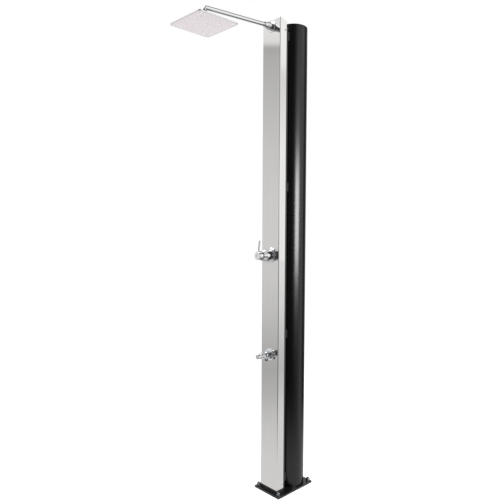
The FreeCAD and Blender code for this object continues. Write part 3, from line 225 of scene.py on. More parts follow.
@dataclass(frozen=True)
class Finish:
    """A surface finish: its colour, its gloss and the fine marks of how it was made.

    Attributes:
        name: Real material and how its surface was made.
        colour: sRGB hex colour.
        roughness: Mean roughness.
        metallic: 1 for bare or plated metal, 0 otherwise.
        grain_mm: Size of the surface marks along X, Y and Z.
        grain_depth_mm: Depth of the marks.
        spread: How much the roughness varies with the marks.
        tone: How much the colour varies with the marks.
        ior: Index of refraction of a non-metal.
    """

    name: str
    colour: str
    roughness: float
    metallic: float = 0.0
    grain_mm: tuple[float, float, float] = (1.0, 1.0, 1.0)
    grain_depth_mm: float = 0.01
    spread: float = 0.05
    tone: float = 0.04
    ior: float = 1.5

    def build(self) -> bpy.types.Material:
        """Makes the material.

        Returns:
            The material, with colour, roughness and relief from its marks.
        """
        material = bpy.data.materials.new(self.name)
        tree = empty_tree(material)
        marks = noise(tree, self.grain_mm, 3.0, 0.55)
        base = linear(self.colour)
        colour = fill_ramp(add_node(tree, "ValToRGB", links={"Fac": marks}),
                           [(0.3, base * (1 - self.tone)), (0.7, np.minimum(1.0, base * (1 + self.tone)))])
        rough = add_node(tree, "MapRange",
                         values={"From Min": 0.25, "From Max": 0.75,
                                 "To Min": max(0.02, self.roughness - self.spread),
                                 "To Max": self.roughness + self.spread},
                         links={"Value": marks})
        skin = relief(tree, marks, self.grain_depth_mm)
        shader = add_node(tree, "BsdfPrincipled",
                          links={"Base Color": colour.outputs["Color"],
                                 "Roughness": rough.outputs["Result"],
                                 "Normal": skin.outputs["Normal"]})
        shader.inputs["Metallic"].default_value = self.metallic
        if self.metallic < 0.5:
            shader.inputs["IOR"].default_value = self.ior
        self.extra(tree, shader)
        add_node(tree, "OutputMaterial", links={"Surface": shader.outputs["BSDF"]})
        return material

    def extra(self, tree: Tree, shader: Node) -> None:
        """Leaves the shader as it is; finishes with a coat or sheen add theirs here."""


@dataclass(frozen=True)
class CoatedFinish(Finish):
    """A finish under a clear or baked skin.

    Attributes:
        coat: Weight of the skin.
        coat_roughness: Roughness of the skin.
    """

    coat: float = 0.5
    coat_roughness: float = 0.1

    def extra(self, tree: Tree, shader: Node) -> None:
        """Sets the skin on the shader's own sockets."""
        shader.inputs["Coat Weight"].default_value = self.coat
        shader.inputs["Coat Roughness"].default_value = self.coat_roughness


@dataclass(frozen=True)
class BrushedFinish(Finish):
    """Sheet metal whose brush lines spread reflections across them and keep them crisp along them.

    Attributes:
        pull: Strength of the one-way spread.
        wave_mm: Length of the sheet's slow waves.
        wave_depth_mm: Depth of the sheet's slow waves.
    """

    pull: float = 0.9
    wave_mm: float = 120.0
    wave_depth_mm: float = 0.06

    def extra(self, tree: Tree, shader: Node) -> None:
        """Turns the spread across the upright lines and adds the sheet's slow waves.

        Args:
            tree: Node tree of the material.
            shader: Its shader, whose relief is linked.
        """
        shader.inputs["Anisotropic"].default_value = self.pull
        lines = shader.inputs["Normal"].links[0].from_node
        sheet = relief(tree, noise(tree, (self.wave_mm,) * 3, 1.0, 0.5), self.wave_depth_mm)
        tree.links.new(sheet.outputs["Normal"], lines.inputs["Normal"])
        upright = add_node(tree, "Tangent", {"direction_type": "RADIAL", "axis": "Z"})
        tree.links.new(upright.outputs["Tangent"], shader.inputs["Tangent"])


class Palette:
    """Every finish of the post, each made once."""

    # Stainless sheet with a fine upright brush: near-mirror with soft streaks along the height.
    # The real lines lie about 0.2 mm apart, drawn 3 mm wide so that they show from a step away.
    COVER = BrushedFinish("stainless_sheet_fine_brushed_upright", "#CFCECD", 0.065, 1.0,
                          (3.0, 3.0, 260.0), 0.0003, 0.025, 0.03)
    # Chrome plate over polished brass: a bright mirror with the faintest waviness.
    CHROME = Finish("chrome_plate_on_polished_brass", "#D6D7D9", 0.07, 1.0, (9.0, 9.0, 9.0), 0.0015,
                    0.02, 0.01)
    # Extruded PVC tube, semi-gloss black: a soft long highlight, faint draw lines along the height.
    TANK = Finish("black_pvc_tube_extruded", "#020203", 0.25, 0.0, (2.2, 2.2, 160.0), 0.001, 0.02, 0.1, 1.46)
    # Injection-moulded black plastic with a fine spark texture, dull.
    MOULDED = Finish("black_abs_moulded_spark_texture", "#17171A", 0.5, 0.0, (0.7, 0.7, 0.7), 0.02, 0.06, 0.1)
    # Black powder coat on steel: satin with orange-peel relief about 1.5 mm across.
    POWDER = CoatedFinish("black_powder_coat_on_steel", "#101113", 0.42, 0.0, (1.5, 1.5, 1.5), 0.02, 0.05,
                          0.08, 1.5, 0.15, 0.22)
    # Turned stainless fasteners: bright, slightly satin.
    FASTENER = Finish("stainless_fastener_turned", "#B9B9B8", 0.24, 1.0, (0.5, 0.5, 0.5), 0.003, 0.06, 0.05)
    # Zinc-plated nuts under a black phosphate: dark grey metal with a soft glint.
    DARK_NUT = Finish("black_zinc_plate_on_steel", "#6A6B6E", 0.3, 1.0, (0.8, 0.8, 0.8), 0.004, 0.06, 0.08)
    # Cast brass with machined faces: warm and satin, with a sand-cast grain.
    BRASS = Finish("cast_brass_machined", "#C9A566", 0.3, 1.0, (1.2, 1.2, 1.2), 0.01, 0.07, 0.08)
    # Drawn stainless pipe: satin with long draw lines.
    PIPE = Finish("stainless_pipe_drawn", "#BFBEBB", 0.3, 1.0, (0.8, 0.8, 60.0), 0.002, 0.05, 0.05)
    # Moulded rubber rings: dull black.
    RUBBER = Finish("black_rubber_moulded", "#0D0D0D", 0.8, 0.0, (0.5, 0.5, 0.5), 0.01, 0.05, 0.1)
    # Light acetal and ceramic-cartridge plastic: smooth and slightly waxy.
    ACETAL = Finish("light_acetal_moulded", "#DAD9D3", 0.38, 0.0, (1.0, 1.0, 1.0), 0.004, 0.04, 0.02, 1.48)
    # Liquid silicone nozzles: pale, soft sheen.
    SILICONE = Finish("pale_silicone_moulded", "#D9D2D2", 0.5, 0.0, (0.6, 0.6, 0.6), 0.004, 0.05, 0.03, 1.43)
    # Pressed stainless pan of the head, polished satin: smoother than the cover, without brush lines.
    PAN = Finish("stainless_pan_satin_polished", "#D2D1D1", 0.16, 1.0, (14.0, 14.0, 14.0), 0.001, 0.03, 0.015)
    # Mirror-polished face plate of the head, the brightest sheet, with a faint blush.
    FACE = Finish("stainless_plate_mirror_polished", "#F9F0F3", 0.12, 1.0, (14.0, 14.0, 14.0), 0.001,
                  0.03, 0.015)

    def __init__(self) -> None:
        """Starts with no material made."""
        self.made: dict[str, bpy.types.Material] = {}

    def material(self, finish: Finish) -> bpy.types.Material:
        """Returns the material of a finish and makes it the first time."""
        if finish.name not in self.made:
            self.made[finish.name] = finish.build()
        return self.made[finish.name]


# ---------------------------------------------------------------- surfaces from arrays


def rounded_line(points: Sequence[Point], radii: Sequence[float], closed: bool,
                 steps: int = 7) -> np.ndarray:
    """Rounds the corners of a line of straight runs.

    Formula: between sides that meet at 2 h, each arc starts r / tan h from its corner, its centre
    lies r / sin h along the bisector, and its points are the spherical blend
    (sin((1 - t) w) a + sin(t w) b) / sin w of the end radii a and b, with w = pi - 2 h.

    Args:
        points: Corners in any number of dimensions.
        radii: Rounding radius at each corner.
        closed: Whether the last corner joins the first.
        steps: Points on each arc.

    Returns:
        Array of points, with repeated ones left out.
    """
    corner = np.asarray(points, float)
    radius = np.maximum(np.asarray(radii, float), 1e-9)[:, None]
    back = np.roll(corner, 1, axis=0) - corner
    on = np.roll(corner, -1, axis=0) - corner
    if not closed:
        back[0], on[-1] = -on[0], -back[-1]
    back /= np.maximum(np.linalg.norm(back, axis=1, keepdims=True), 1e-12)
    on /= np.maximum(np.linalg.norm(on, axis=1, keepdims=True), 1e-12)
    cosine = np.clip((back * on).sum(1, keepdims=True), -0.999999, 0.999999)
    half = np.arccos(cosine) / 2
    middle = back + on
    middle /= np.maximum(np.linalg.norm(middle, axis=1, keepdims=True), 1e-12)
    centre = corner + middle * radius / np.sin(half)
    first = corner + back * radius / np.tan(half) - centre
    last = corner + on * radius / np.tan(half) - centre
    sweep = np.maximum(np.pi - 2 * half, 1e-5)[:, None, :]
    t = np.linspace(0.0, 1.0, steps)[None, :, None]
    arc = (np.sin((1 - t) * sweep) * first[:, None] + np.sin(t * sweep) * last[:, None]) / np.sin(sweep)
    arc = centre[:, None] + arc
    if not closed:
        arc[0], arc[-1] = corner[0], corner[-1]
    line = arc.reshape(-1, corner.shape[1])
    keep = np.linalg.norm(line - np.roll(line, 1, axis=0), axis=1) > 1e-7
    keep[0] = keep[0] or not closed
    return line[keep]


def grid_object(name: str, sheets: Sequence[np.ndarray], close_rows: bool = False, caps: bool = False,
                sharp_deg: float = 35.0) -> Piece:
    """Makes one object from grids of points whose last column joins the first.

    Args:
        name: Name of the piece.
        sheets: Arrays of shape (rows, columns, 3), in metres.
        close_rows: Whether the last row joins the first.
        caps: Whether the first and last rows are closed by flat faces.
        sharp_deg: Edges bent more than this stay crisp.

    Returns:
        The object, its faces outward, doubles merged and shading set.
    """
    vertices, faces, start = [], [], 0
    for sheet in sheets:
        rows, columns = sheet.shape[:2]
        index = start + np.arange(rows * columns).reshape(rows, columns)
        if close_rows:
            index = np.vstack([index, index[:1]])
        index = np.hstack([index, index[:, :1]])
        quads = np.stack([index[:-1, :-1], index[1:, :-1], index[1:, 1:], index[:-1, 1:]], axis=-1)
        faces.extend(quads.reshape(-1, 4).tolist())
        if caps:
            faces.append(index[0, :-1].tolist())
            faces.append(index[-1, -2::-1].tolist())
        vertices.append(sheet.reshape(-1, 3))
        start += rows * columns
    mesh = bpy.data.meshes.new(name)
    mesh.from_pydata(np.vstack(vertices).tolist(), [], faces)
    shape = bmesh.new()
    shape.from_mesh(mesh)
    bmesh.ops.remove_doubles(shape, verts=shape.verts, dist=2e-6)
    bmesh.ops.dissolve_degenerate(shape, edges=shape.edges, dist=1e-7)
    bmesh.ops.recalc_face_normals(shape, faces=shape.faces)
    limit = math.radians(sharp_deg)
    for edge in shape.edges:
        edge.smooth = not (edge.is_manifold and edge.calc_face_angle(0.0) > limit)
    for face in shape.faces:
        face.smooth = True
    shape.to_mesh(mesh)
    shape.free()
    made = bpy.data.objects.new(name, mesh)
    bpy.context.scene.collection.objects.link(made)
    weighted = made.modifiers.new("even_shading", "WEIGHTED_NORMAL")
    weighted.keep_sharp = True
    return made


def frame_of(axis: Point) -> np.ndarray:
    """Finds a frame round a direction.

    Args:
        axis: The direction, of any length.

    Returns:
        Two unit vectors across it and one along it, as rows.
    """
    along = np.asarray(axis, float)
    along = along / np.linalg.norm(along)
    helper = np.array([1.0, 0.0, 0.0]) if abs(along[0]) < 0.9 else np.array([0.0, 0.0, 1.0])
    first = np.cross(along, helper)
    first /= np.linalg.norm(first)
    return np.stack([first, np.cross(along, first), along])


def turned_sheet(outline: np.ndarray, origin: Point, axis: Point, columns: int = 96,
                 shape: Optional[np.ndarray] = None) -> np.ndarray:
    """Carries a profile round an axis.

    Formula: p(u, v) = o + d(u) a + r(u, v) (cos v e + sin v f), with r(u, v) = r(u) s(u, v).

    Args:
        outline: Rows of distance along the axis and radius, in millimetres.
        origin: Start of the axis, in millimetres.
        axis: Direction of the axis.
        columns: Points round the axis.
        shape: Factors s on the radius, one for each row and column.

    Returns:
        Array of shape (rows, columns, 3), in metres.
    """
    across, over, along = frame_of(axis)
    angle = np.linspace(0, 2 * np.pi, columns, endpoint=False)
    radius = outline[:, 1:2] * (np.ones((1, columns)) if shape is None else shape)
    ring = np.cos(angle)[None, :, None] * across + np.sin(angle)[None, :, None] * over
    points = np.asarray(origin, float) + outline[:, :1, None] * along + radius[:, :, None] * ring
    return points * MM


def turned(name: str, corners: Sequence[tuple[float, float, float]], origin: Point, axis: Point,
           columns: int = 96, steps: int = 7) -> Piece:
    """Makes a turned piece from the corners of its closed half profile.

    Args:
        name: Name of the piece.
        corners: Distance along the axis, radius and rounding of each corner, in millimetres.
        origin: Start of the axis, in millimetres.
        axis: Direction of the axis.
        columns: Points round the axis.
        steps: Points on each rounding.

    Returns:
        The piece.
    """
    table = np.asarray(corners, float)
    outline = rounded_line(table[:, :2], table[:, 2], True, steps)
    outline[:, 1] = np.maximum(outline[:, 1], 0.0)
    return grid_object(name, [turned_sheet(outline, origin, axis, columns)], close_rows=True)


def tube_sheet(line: np.ndarray, radius: float, side: Point, columns: int = 56) -> np.ndarray:
    """Carries a circle along a line that lies in one plane.

    Formula: p(u, v) = c(u) + r (cos v s + sin v (t(u) x s)), s across the plane, t the tangent.

    Args:
        line: Points of the line, in millimetres.
        radius: Radius of the circle.
        side: Direction across the line's plane.
        columns: Points round the tube.

    Returns:
        Array of shape (rows, columns, 3), in metres.
    """
    tangent = np.gradient(line, axis=0)
    tangent /= np.linalg.norm(tangent, axis=1, keepdims=True)
    across = np.asarray(side, float)[None, :]
    over = np.cross(tangent, across)
    angle = np.linspace(0, 2 * np.pi, columns, endpoint=False)[None, :, None]
    ring = np.cos(angle) * across[:, None] + np.sin(angle) * over[:, None]
    return (line[:, None] + radius * ring) * MM


def lifted(outline: np.ndarray, height: float | np.ndarray) -> np.ndarray:
    """Lifts a flat outline to one height, or each of its points to its own."""
    return np.column_stack([outline, np.broadcast_to(height, len(outline))])


def rounded_square(half: float, radius: float, centre: tuple[float, float]) -> np.ndarray:
    """Returns a square's outline with four rounded corners, in millimetres."""
    corners = [(-half, -half), (half, -half), (half, half), (-half, half)]
    return rounded_line(corners, [radius] * 4, True, 12) + np.asarray(centre)


def grooved(line: np.ndarray, columns: int, count: int, power: int, depth: float,
            fade: np.ndarray) -> np.ndarray:
    """Radius factors of grooves along a turned piece.

    Formula: s(u, v) = 1 - f w(u) max(0, cos(n v))^p / r(u).

    Args:
        line: Rows of distance along the axis and radius.
        columns: Points round the axis.
        count: Number n of grooves.
        power: Exponent p, larger for narrower grooves.
        depth: Depth f of the grooves.
        fade: Weight w of the grooves in each row.

    Returns:
        Array of shape (rows, columns).
    """
    angle = np.linspace(0, 2 * np.pi, columns, endpoint=False)
    groove = np.maximum(0, np.cos(count * angle)) ** power
    return 1.0 - depth * fade[:, None] * groove / np.maximum(line[:, 1:2], 1.0)


def hexagon_sheet(flats: float, rows: Sequence[tuple[float, float]], origin: Point, axis: Point,
                  columns: int = 96) -> np.ndarray:
    """Hexagon whose corners are turned down to a cone.

    Formula: r(d, v) = min(f / 2 / cos(v off its flat), c(d)), with c the cone's radius.

    Args:
        flats: Width across flats, in millimetres.
        rows: Distance along the axis and the cone's radius there.
        origin: Start of the axis, in millimetres.
        axis: Direction of the axis.
        columns: Points round the axis.

    Returns:
        Array of shape (rows, columns, 3), in metres.
    """
    table = np.asarray(rows, float)
    angle = np.linspace(0, 2 * np.pi, columns, endpoint=False)
    off_flat = (angle + np.pi / 6) % (np.pi / 3) - np.pi / 6
    radius = np.minimum(flats / 2 / np.cos(off_flat), table[:, 1:2])
    plain = np.column_stack([table[:, 0], np.ones(len(table))])
    return turned_sheet(plain, origin, axis, columns, radius)


def join(pieces: Sequence[Piece]) -> Piece:
    """Joins pieces of one finish into the first of them.

    Args:
        pieces: Pieces in place, all of them unturned.

    Returns:
        The first piece.
    """
    shape = bmesh.new()
    for piece in pieces:
        shape.from_mesh(piece.data)
    shape.to_mesh(pieces[0].data)
    shape.free()
    for piece in pieces[1:]:
        bpy.data.objects.remove(piece, do_unlink=True)
    return pieces[0]


# ---------------------------------------------------------------- sub-assemblies


def millimetres(node: str) -> tuple[np.ndarray, np.ndarray]:
    """Returns a node's lowest and highest corner, in millimetres."""
    low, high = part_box(node)
    return np.array(low) / MM, np.array(high) / MM


def seat_of(node: str) -> np.ndarray:
    """Returns the middle of a round piece's seat on the cover's face, in millimetres."""
    low, high = millimetres(node)
    return np.array([0.0, high[1], (low[2] + high[2]) / 2])


@dataclass
class Assembly:
    """A group of pieces with its own sizes.

    Attributes:
        palette: Finishes of the post.
    """

    palette: Palette

    def install(self, piece: Piece, finish: Finish, body: Body, node: str) -> None:
        """Dresses a piece and lets it ride and stand for its node.

        Args:
            piece: Finished piece, in place.
            finish: Its finish.
            body: Body that it rides on.
            node: CAD node that it stands for.
        """
        piece.data.materials.clear()
        piece.data.materials.append(self.palette.material(finish))
        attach(piece, body.value)
        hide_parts(node)
        LOG.info("piece %s: %d faces, finish %s", piece.name, len(piece.data.polygons), finish.name)

    def turn(self, node: str, name: str, corners: Sequence[tuple[float, float, float]], origin: Point,
             columns: int, steps: int = 7, axis: Point = OUT, finish: Finish = Palette.CHROME,
             body: Body = Body.COLUMN) -> None:
        """Turns a piece from its corners and lets it stand for its node."""
        self.install(turned(name, corners, origin, axis, columns, steps), finish, body, node)

    def dress(self, finish: Finish, *nodes: str) -> None:
        """Gives CAD nodes their finish.

        Args:
            finish: The finish.
            nodes: Names of the nodes.
        """
        for node in nodes:
            piece = frame["nodes"][node]
            piece.data.materials.clear()
            piece.data.materials.append(self.palette.material(finish))
            LOG.info("node %s: finish %s", node, finish.name)


@dataclass
class FloorPlate(Assembly):
    """Steel floor plate with its washers and domed nuts.

    Attributes:
        nut_flats: Width across flats of a nut.
        nut_height: Height of its hexagon.
        washer_radius: Outer radius of a washer.
        washer_hole: Radius of its hole.
        washer_height: Thickness of a washer.
    """

    nut_flats: float = 17.0
    nut_height: float = 8.0
    washer_radius: float = 10.0
    washer_hole: float = 5.5
    washer_height: float = 2.0

    def build(self) -> None:
        """Makes washers and nuts and dresses the plate."""
        self.dress(Palette.POWDER, "base_plate")
        self.dress(Palette.FASTENER, "tank_screws", "foot_screws")
        low, high = millimetres("anchor_washers")
        r, hole, t = self.washer_radius, self.washer_hole, self.washer_height
        spots = [(x, y) for x in (low[0] + r, high[0] - r) for y in (low[1] + r, high[1] - r)]
        outline = rounded_line([(0, hole), (0, r), (t, r), (t, hole)], [0.3, 0.3, 0.6, 0.3], True, 5)
        rings = [turned_sheet(outline, (x, y, low[2]), UP, 64) for x, y in spots]
        washers = grid_object("anchor_washer_set", rings, close_rows=True)
        self.install(washers, Palette.DARK_NUT, Body.COLUMN, "anchor_washers")
        self.install(self.nuts(spots, high[2]), Palette.DARK_NUT, Body.COLUMN, "anchor_nuts")

    def nuts(self, spots: Sequence[tuple[float, float]], base: float) -> Piece:
        """Makes the domed nuts: a hexagon with turned corners under a ball-shaped cap.

        Args:
            spots: Places of the nuts.
            base: Height of their seats.

        Returns:
            The nuts as one piece.
        """
        dome = self.nut_flats / 2 - 0.5
        wide = self.nut_flats / math.sqrt(3)
        rise = np.linspace(0, np.pi / 2, 12)
        rows = [(0.0, 0.0), (0.0, dome), (0.6, wide), (self.nut_height - 1.6, wide + 0.2),
                (self.nut_height - 0.8, wide - 0.5), (self.nut_height, dome)]
        rows += list(zip(self.nut_height + dome * np.sin(rise[1:]), dome * np.cos(rise[1:])))
        sheets = [hexagon_sheet(self.nut_flats, rows, (x, y, base), UP, 72) for x, y in spots]
        return grid_object("domed_nut_set", sheets, sharp_deg=25.0)


@dataclass
class FrontCover(Assembly):
    """Folded stainless cover with its foot, its screws and what holds it.

    Attributes:
        sheet: Thickness of the sheet.
        fold: Outer radius of the front folds.
        rear_fold: Outer radius of the rear folds.
        lip: Inner edge of the rear lips, off the middle.
        strip: Height of the strip that joins the lips at the top.
        drop: Fall of the top from front to back.
        screw_head: Radius of the side screws' heads.
    """

    sheet: float = 1.5
    fold: float = 3.0
    rear_fold: float = 1.6
    lip: float = 38.3
    strip: float = 9.2
    drop: float = 14.0
    screw_head: float = 4.0

    def build(self) -> None:
        """Makes the cover and its screws and dresses the pieces round it."""
        low, high = millimetres("front_cover")
        self.install(self.cover(low, high), Palette.COVER, Body.COLUMN, "front_cover")
        self.dress(Palette.MOULDED, "front_foot", "pipe_clips")
        self.dress(Palette.RUBBER, "channel_cap", "tank_saddles")
        self.dress(Palette.POWDER, "mounting_channel")
        self.dress(Palette.PIPE, "cover_brackets", "cold_pipe_lower", "cold_pipe_upper", "hot_pipe",
                   "riser_pipe")
        self.dress(Palette.FASTENER, "channel_screws")
        self.screws()

    def cover(self, low: np.ndarray, high: np.ndarray) -> Piece:
        """Makes walls, rear strip and sloping lid of the folded sheet.

        Formula: the walls are the sheet's cross-section carried up to
        z = top - drop (y - front) / depth, less the lid's thickness.

        Args:
            low: Lowest corner of the cover.
            high: Highest corner of the cover.

        Returns:
            The cover as one piece.
        """
        t, lip = self.sheet, self.lip
        half, front, rear = high[0], low[1], high[1]
        outer = [(-lip, rear), (-half, rear), (-half, front), (half, front), (half, rear), (lip, rear)]
        outer_round = [0.2, self.rear_fold, self.fold, self.fold, self.rear_fold, 0.2]
        inner = [(lip, rear - t), (half - t, rear - t), (half - t, front + t),
                 (-half + t, front + t), (-half + t, rear - t), (-lip, rear - t)]
        inner_round = [0.2, 0.3, self.fold - t, self.fold - t, 0.3, 0.2]
        section = rounded_line(outer + inner, outer_round + inner_round, True, 9)
        slope = self.drop / (rear - front)
        top = high[2] - slope * (section[:, 1] - front)
        share = np.concatenate([[0.0, 0.0006], np.linspace(0.01, 0.99, 24), [1.0]])[:, None]
        height = low[2] + share * (top[None, :] - t - low[2])
        walls = np.dstack([np.broadcast_to(section[:, 0], height.shape),
                           np.broadcast_to(section[:, 1], height.shape), height]) * MM
        lid_line = rounded_line([(-half, front), (half, front), (half, rear), (-half, rear)],
                                [self.fold, self.fold, self.rear_fold, self.rear_fold], True, 9)
        centre = lid_line.mean(0)
        away = lid_line - centre
        rings = []
        for inset, rise in ((0.0, -t), (0.0, -0.7), (0.2, -0.25), (0.7, 0.0)):
            ring = centre + away * (1 - inset / np.abs(away).max(0))
            rings.append(lifted(ring, high[2] - slope * (ring[:, 1] - front) + rise))
        strip_top = high[2] - self.drop - t
        box = np.array([(-lip, rear - t), (lip, rear - t), (lip, rear), (-lip, rear)])
        strip = np.stack([lifted(box, z) for z in (strip_top - self.strip, strip_top)])
        return join([grid_object("folded_cover", [walls], sharp_deg=30.0),
                     grid_object("cover_lid", [np.stack(rings) * MM], caps=True, sharp_deg=30.0),
                     grid_object("cover_strip", [strip * MM], caps=True)])

    def screws(self) -> None:
        """Makes the pan-head screws on the cover's sides."""
        low, high = millimetres("cover_screws")
        y = (low[1] + high[1]) / 2
        heights = (low[2] + self.screw_head, high[2] - self.screw_head)
        half = millimetres("front_cover")[1][0]
        r = self.screw_head
        head = rounded_line([(-1.4, 0.0), (-1.4, r / 2), (0.0, r / 2), (0.0, r), (1.0, r), (2.2, 2.6),
                             (2.4, 1.6), (1.2, 1.3), (1.2, 0.0)],
                            [0, 0, 0.1, 0.25, 0.9, 1.4, 0.25, 0.2, 0], True, 5)
        head[:, 1] = np.maximum(head[:, 1], 0)
        sheets = [turned_sheet(head, (side * half, y, z), (side, 0, 0), 48)
                  for side in (-1.0, 1.0) for z in heights]
        made = grid_object("cover_screw_set", sheets, close_rows=True)
        self.install(made, Palette.FASTENER, Body.COLUMN, "cover_screws")


@dataclass
class Tank(Assembly):
    """Black tank tube with its lid, inlet and drain.

    Attributes:
        radius: Outer radius of the tube.
        wall: Thickness of its wall.
        lid: Height of the lid above the tube.
        lid_round: Rounding of the lid's rim.
        plug: Length of the lid inside the tube.
        play: Gap between the lid's plug and the tube.
        seam: Gap between the lid's rim and the tube.
    """

    radius: float = 70.0
    wall: float = 4.1
    lid: float = 7.0
    lid_round: float = 3.0
    plug: float = 40.0
    play: float = 0.2
    seam: float = 0.15

    def build(self) -> None:
        """Makes tube and lid and dresses the fittings."""
        low, high = millimetres("tank_tube")
        centre = ((low[0] + high[0]) / 2, (low[1] + high[1]) / 2, 0.0)
        bottom, top, r = low[2], high[2], self.radius
        bore = r - self.wall
        tube = [(bottom, bore, 0.3), (bottom, r, 0.6), (top, r, 0.4), (top, bore, 0.3)]
        self.turn("tank_tube", "tank_tube_skin", tube, centre, 192, 7, UP, Palette.TANK)
        fit, rim, crown = bore - self.play, top + self.seam, top + self.lid
        lid = [(top - self.plug, 0, 0), (top - self.plug, fit, 0.5), (rim, fit, 0.1), (rim, r, 0.4),
               (crown, r, self.lid_round), (crown, 0, 0)]
        self.turn("tank_lid", "tank_lid_cap", lid, centre, 192, 9, UP, Palette.TANK)
        self.dress(Palette.MOULDED, "tank_base")
        self.dress(Palette.BRASS, "tank_nipples", "inlet_socket", "drain_plug", "foot_tee")
        self.dress(Palette.RUBBER, "drain_seal")


@dataclass
class Mixer(Assembly):
    """Single-lever mixer: rose, sleeve, handle and lever round the cartridge.

    Attributes:
        rose_radius: Radius of the rose.
        rose_height: Thickness of the rose.
        sleeve_radius: Radius of the sleeve's straight part.
        sleeve_wall: Thickness of the sleeve.
        sleeve_straight: End of its straight part, from the cover's face.
        sleeve_reach: Its mouth, from the cover's face.
        mouth_gap: Room round the handle in the sleeve's mouth.
        handle_radius: Radius of the handle.
        handle_bore: Radius of the hollow in its tail.
        handle_tail: Length of its ball-shaped tail behind the mouth.
        handle_reach: Front of the handle, from the sleeve's mouth.
        lever_radius: Radius of the lever.
        lever_offset: Lever's axis in front of the sleeve's mouth.
        lever_top: Lever's end above the mixer's axis.
        lever_lean: Lean of the lever towards the post, in degrees.
    """

    rose_radius: float = 37.5
    rose_height: float = 7.0
    sleeve_radius: float = 27.0
    sleeve_wall: float = 1.5
    sleeve_straight: float = 40.0
    sleeve_reach: float = 60.0
    mouth_gap: float = 1.3
    handle_radius: float = 19.0
    handle_bore: float = 15.0
    handle_tail: float = 5.0
    handle_reach: float = 23.5
    lever_radius: float = 4.0
    lever_offset: float = 16.5
    lever_top: float = 70.0
    lever_lean: float = 6.0

    def build(self) -> None:
        """Makes the visible pieces and dresses the inner ones."""
        origin = seat_of("mixer_rose")
        r, h = self.rose_radius, self.rose_height
        rose = [(0, r - 2.3, 0.2), (0, r, 0.2), (2.2, r - 0.2, 1.6), (h - 1.6, r - 4.7, 6.0),
                (h - 0.8, 27.6, 0.4), (h, 27.4, 0.3), (h, 25.0, 0.3), (h - 2.0, 25.0, 0.5),
                (3.4, r - 6.0, 3.0)]
        self.turn("mixer_rose", "mixer_rose_plate", rose, origin, 128, 9)
        mouth, end, root = self.handle_radius + self.mouth_gap, self.sleeve_reach, h + 0.05
        r, bore, bend = self.sleeve_radius, self.sleeve_radius - self.sleeve_wall, self.sleeve_straight
        sleeve = [(root, r, 0.3), (bend - 0.5, r, 5.0), (end - 0.8, mouth + 1.6, 1.0),
                  (end, mouth + 0.9, 0.4), (end, mouth, 0.4), (end - 1.7, mouth, 0.4), (bend, bore, 1.5),
                  (root, bore, 0.3)]
        self.turn("mixer_sleeve", "mixer_sleeve_cone", sleeve, origin, 128, 9)
        pivot = (0.0, origin[1] - self.sleeve_reach, origin[2])
        self.handle(pivot)
        self.lever(pivot)
        self.dress(Palette.BRASS, "mixer_body", "mixer_locknut", "cartridge_nut", "cartridge_stem")
        self.dress(Palette.ACETAL, "cartridge_housing", "cartridge_turret")
        self.dress(Palette.FASTENER, "cartridge_pin", "handle_screw")
        self.dress(Palette.RUBBER, "sleeve_seal")

    def handle(self, pivot: Point) -> None:
        """Makes the handle: r = sqrt(R^2 - h^2) behind the pivot, straight in front of it.

        Args:
            pivot: Point that the lever tilts about, in millimetres.
        """
        r, bore, tail, front = self.handle_radius, self.handle_bore, self.handle_tail, self.handle_reach
        rows = [(h, math.sqrt(r * r - h * h), 0.0) for h in np.linspace(-tail, -1.0, 5)]
        rows += [(0.0, r, 0.0), (front - 2.5, r, 0.0), (front - 2.3, r - 0.3, 0.15), (front - 2.1, r, 0.1),
                 (front, r, 1.6), (front, 7.0, 1.5), (front - 1.0, 5.0, 2.0), (front - 1.0, 0.0, 0.0),
                 (12.0, 0.0, 0.0), (12.0, bore, 0.3), (-tail, bore, 0.3)]
        self.turn("mixer_handle", "mixer_handle_cap", rows, pivot, 128, body=Body.LEVER)

    def lever(self, pivot: Point) -> None:
        """Makes the straight lever with a domed end and a collar where it enters the handle.

        Args:
            pivot: Point that the lever tilts about, in millimetres.
        """
        lean = math.radians(self.lever_lean)
        axis = (0.0, math.sin(lean), math.cos(lean))
        foot = (0.0, pivot[1] - self.lever_offset, pivot[2])
        end = self.lever_top / math.cos(lean)
        r = self.lever_radius
        rows = [(6.2, 0, 0), (6.2, r, 0.3), (18.6, r, 0.3), (18.9, r + 0.9, 0.3), (20.4, r + 0.9, 0.5),
                (21.6, r, 1.0), (end, r, 3.6), (end, 0, 0)]
        self.turn("lever_pin", "mixer_lever_pin", rows, foot, 48, 9, axis, body=Body.LEVER)


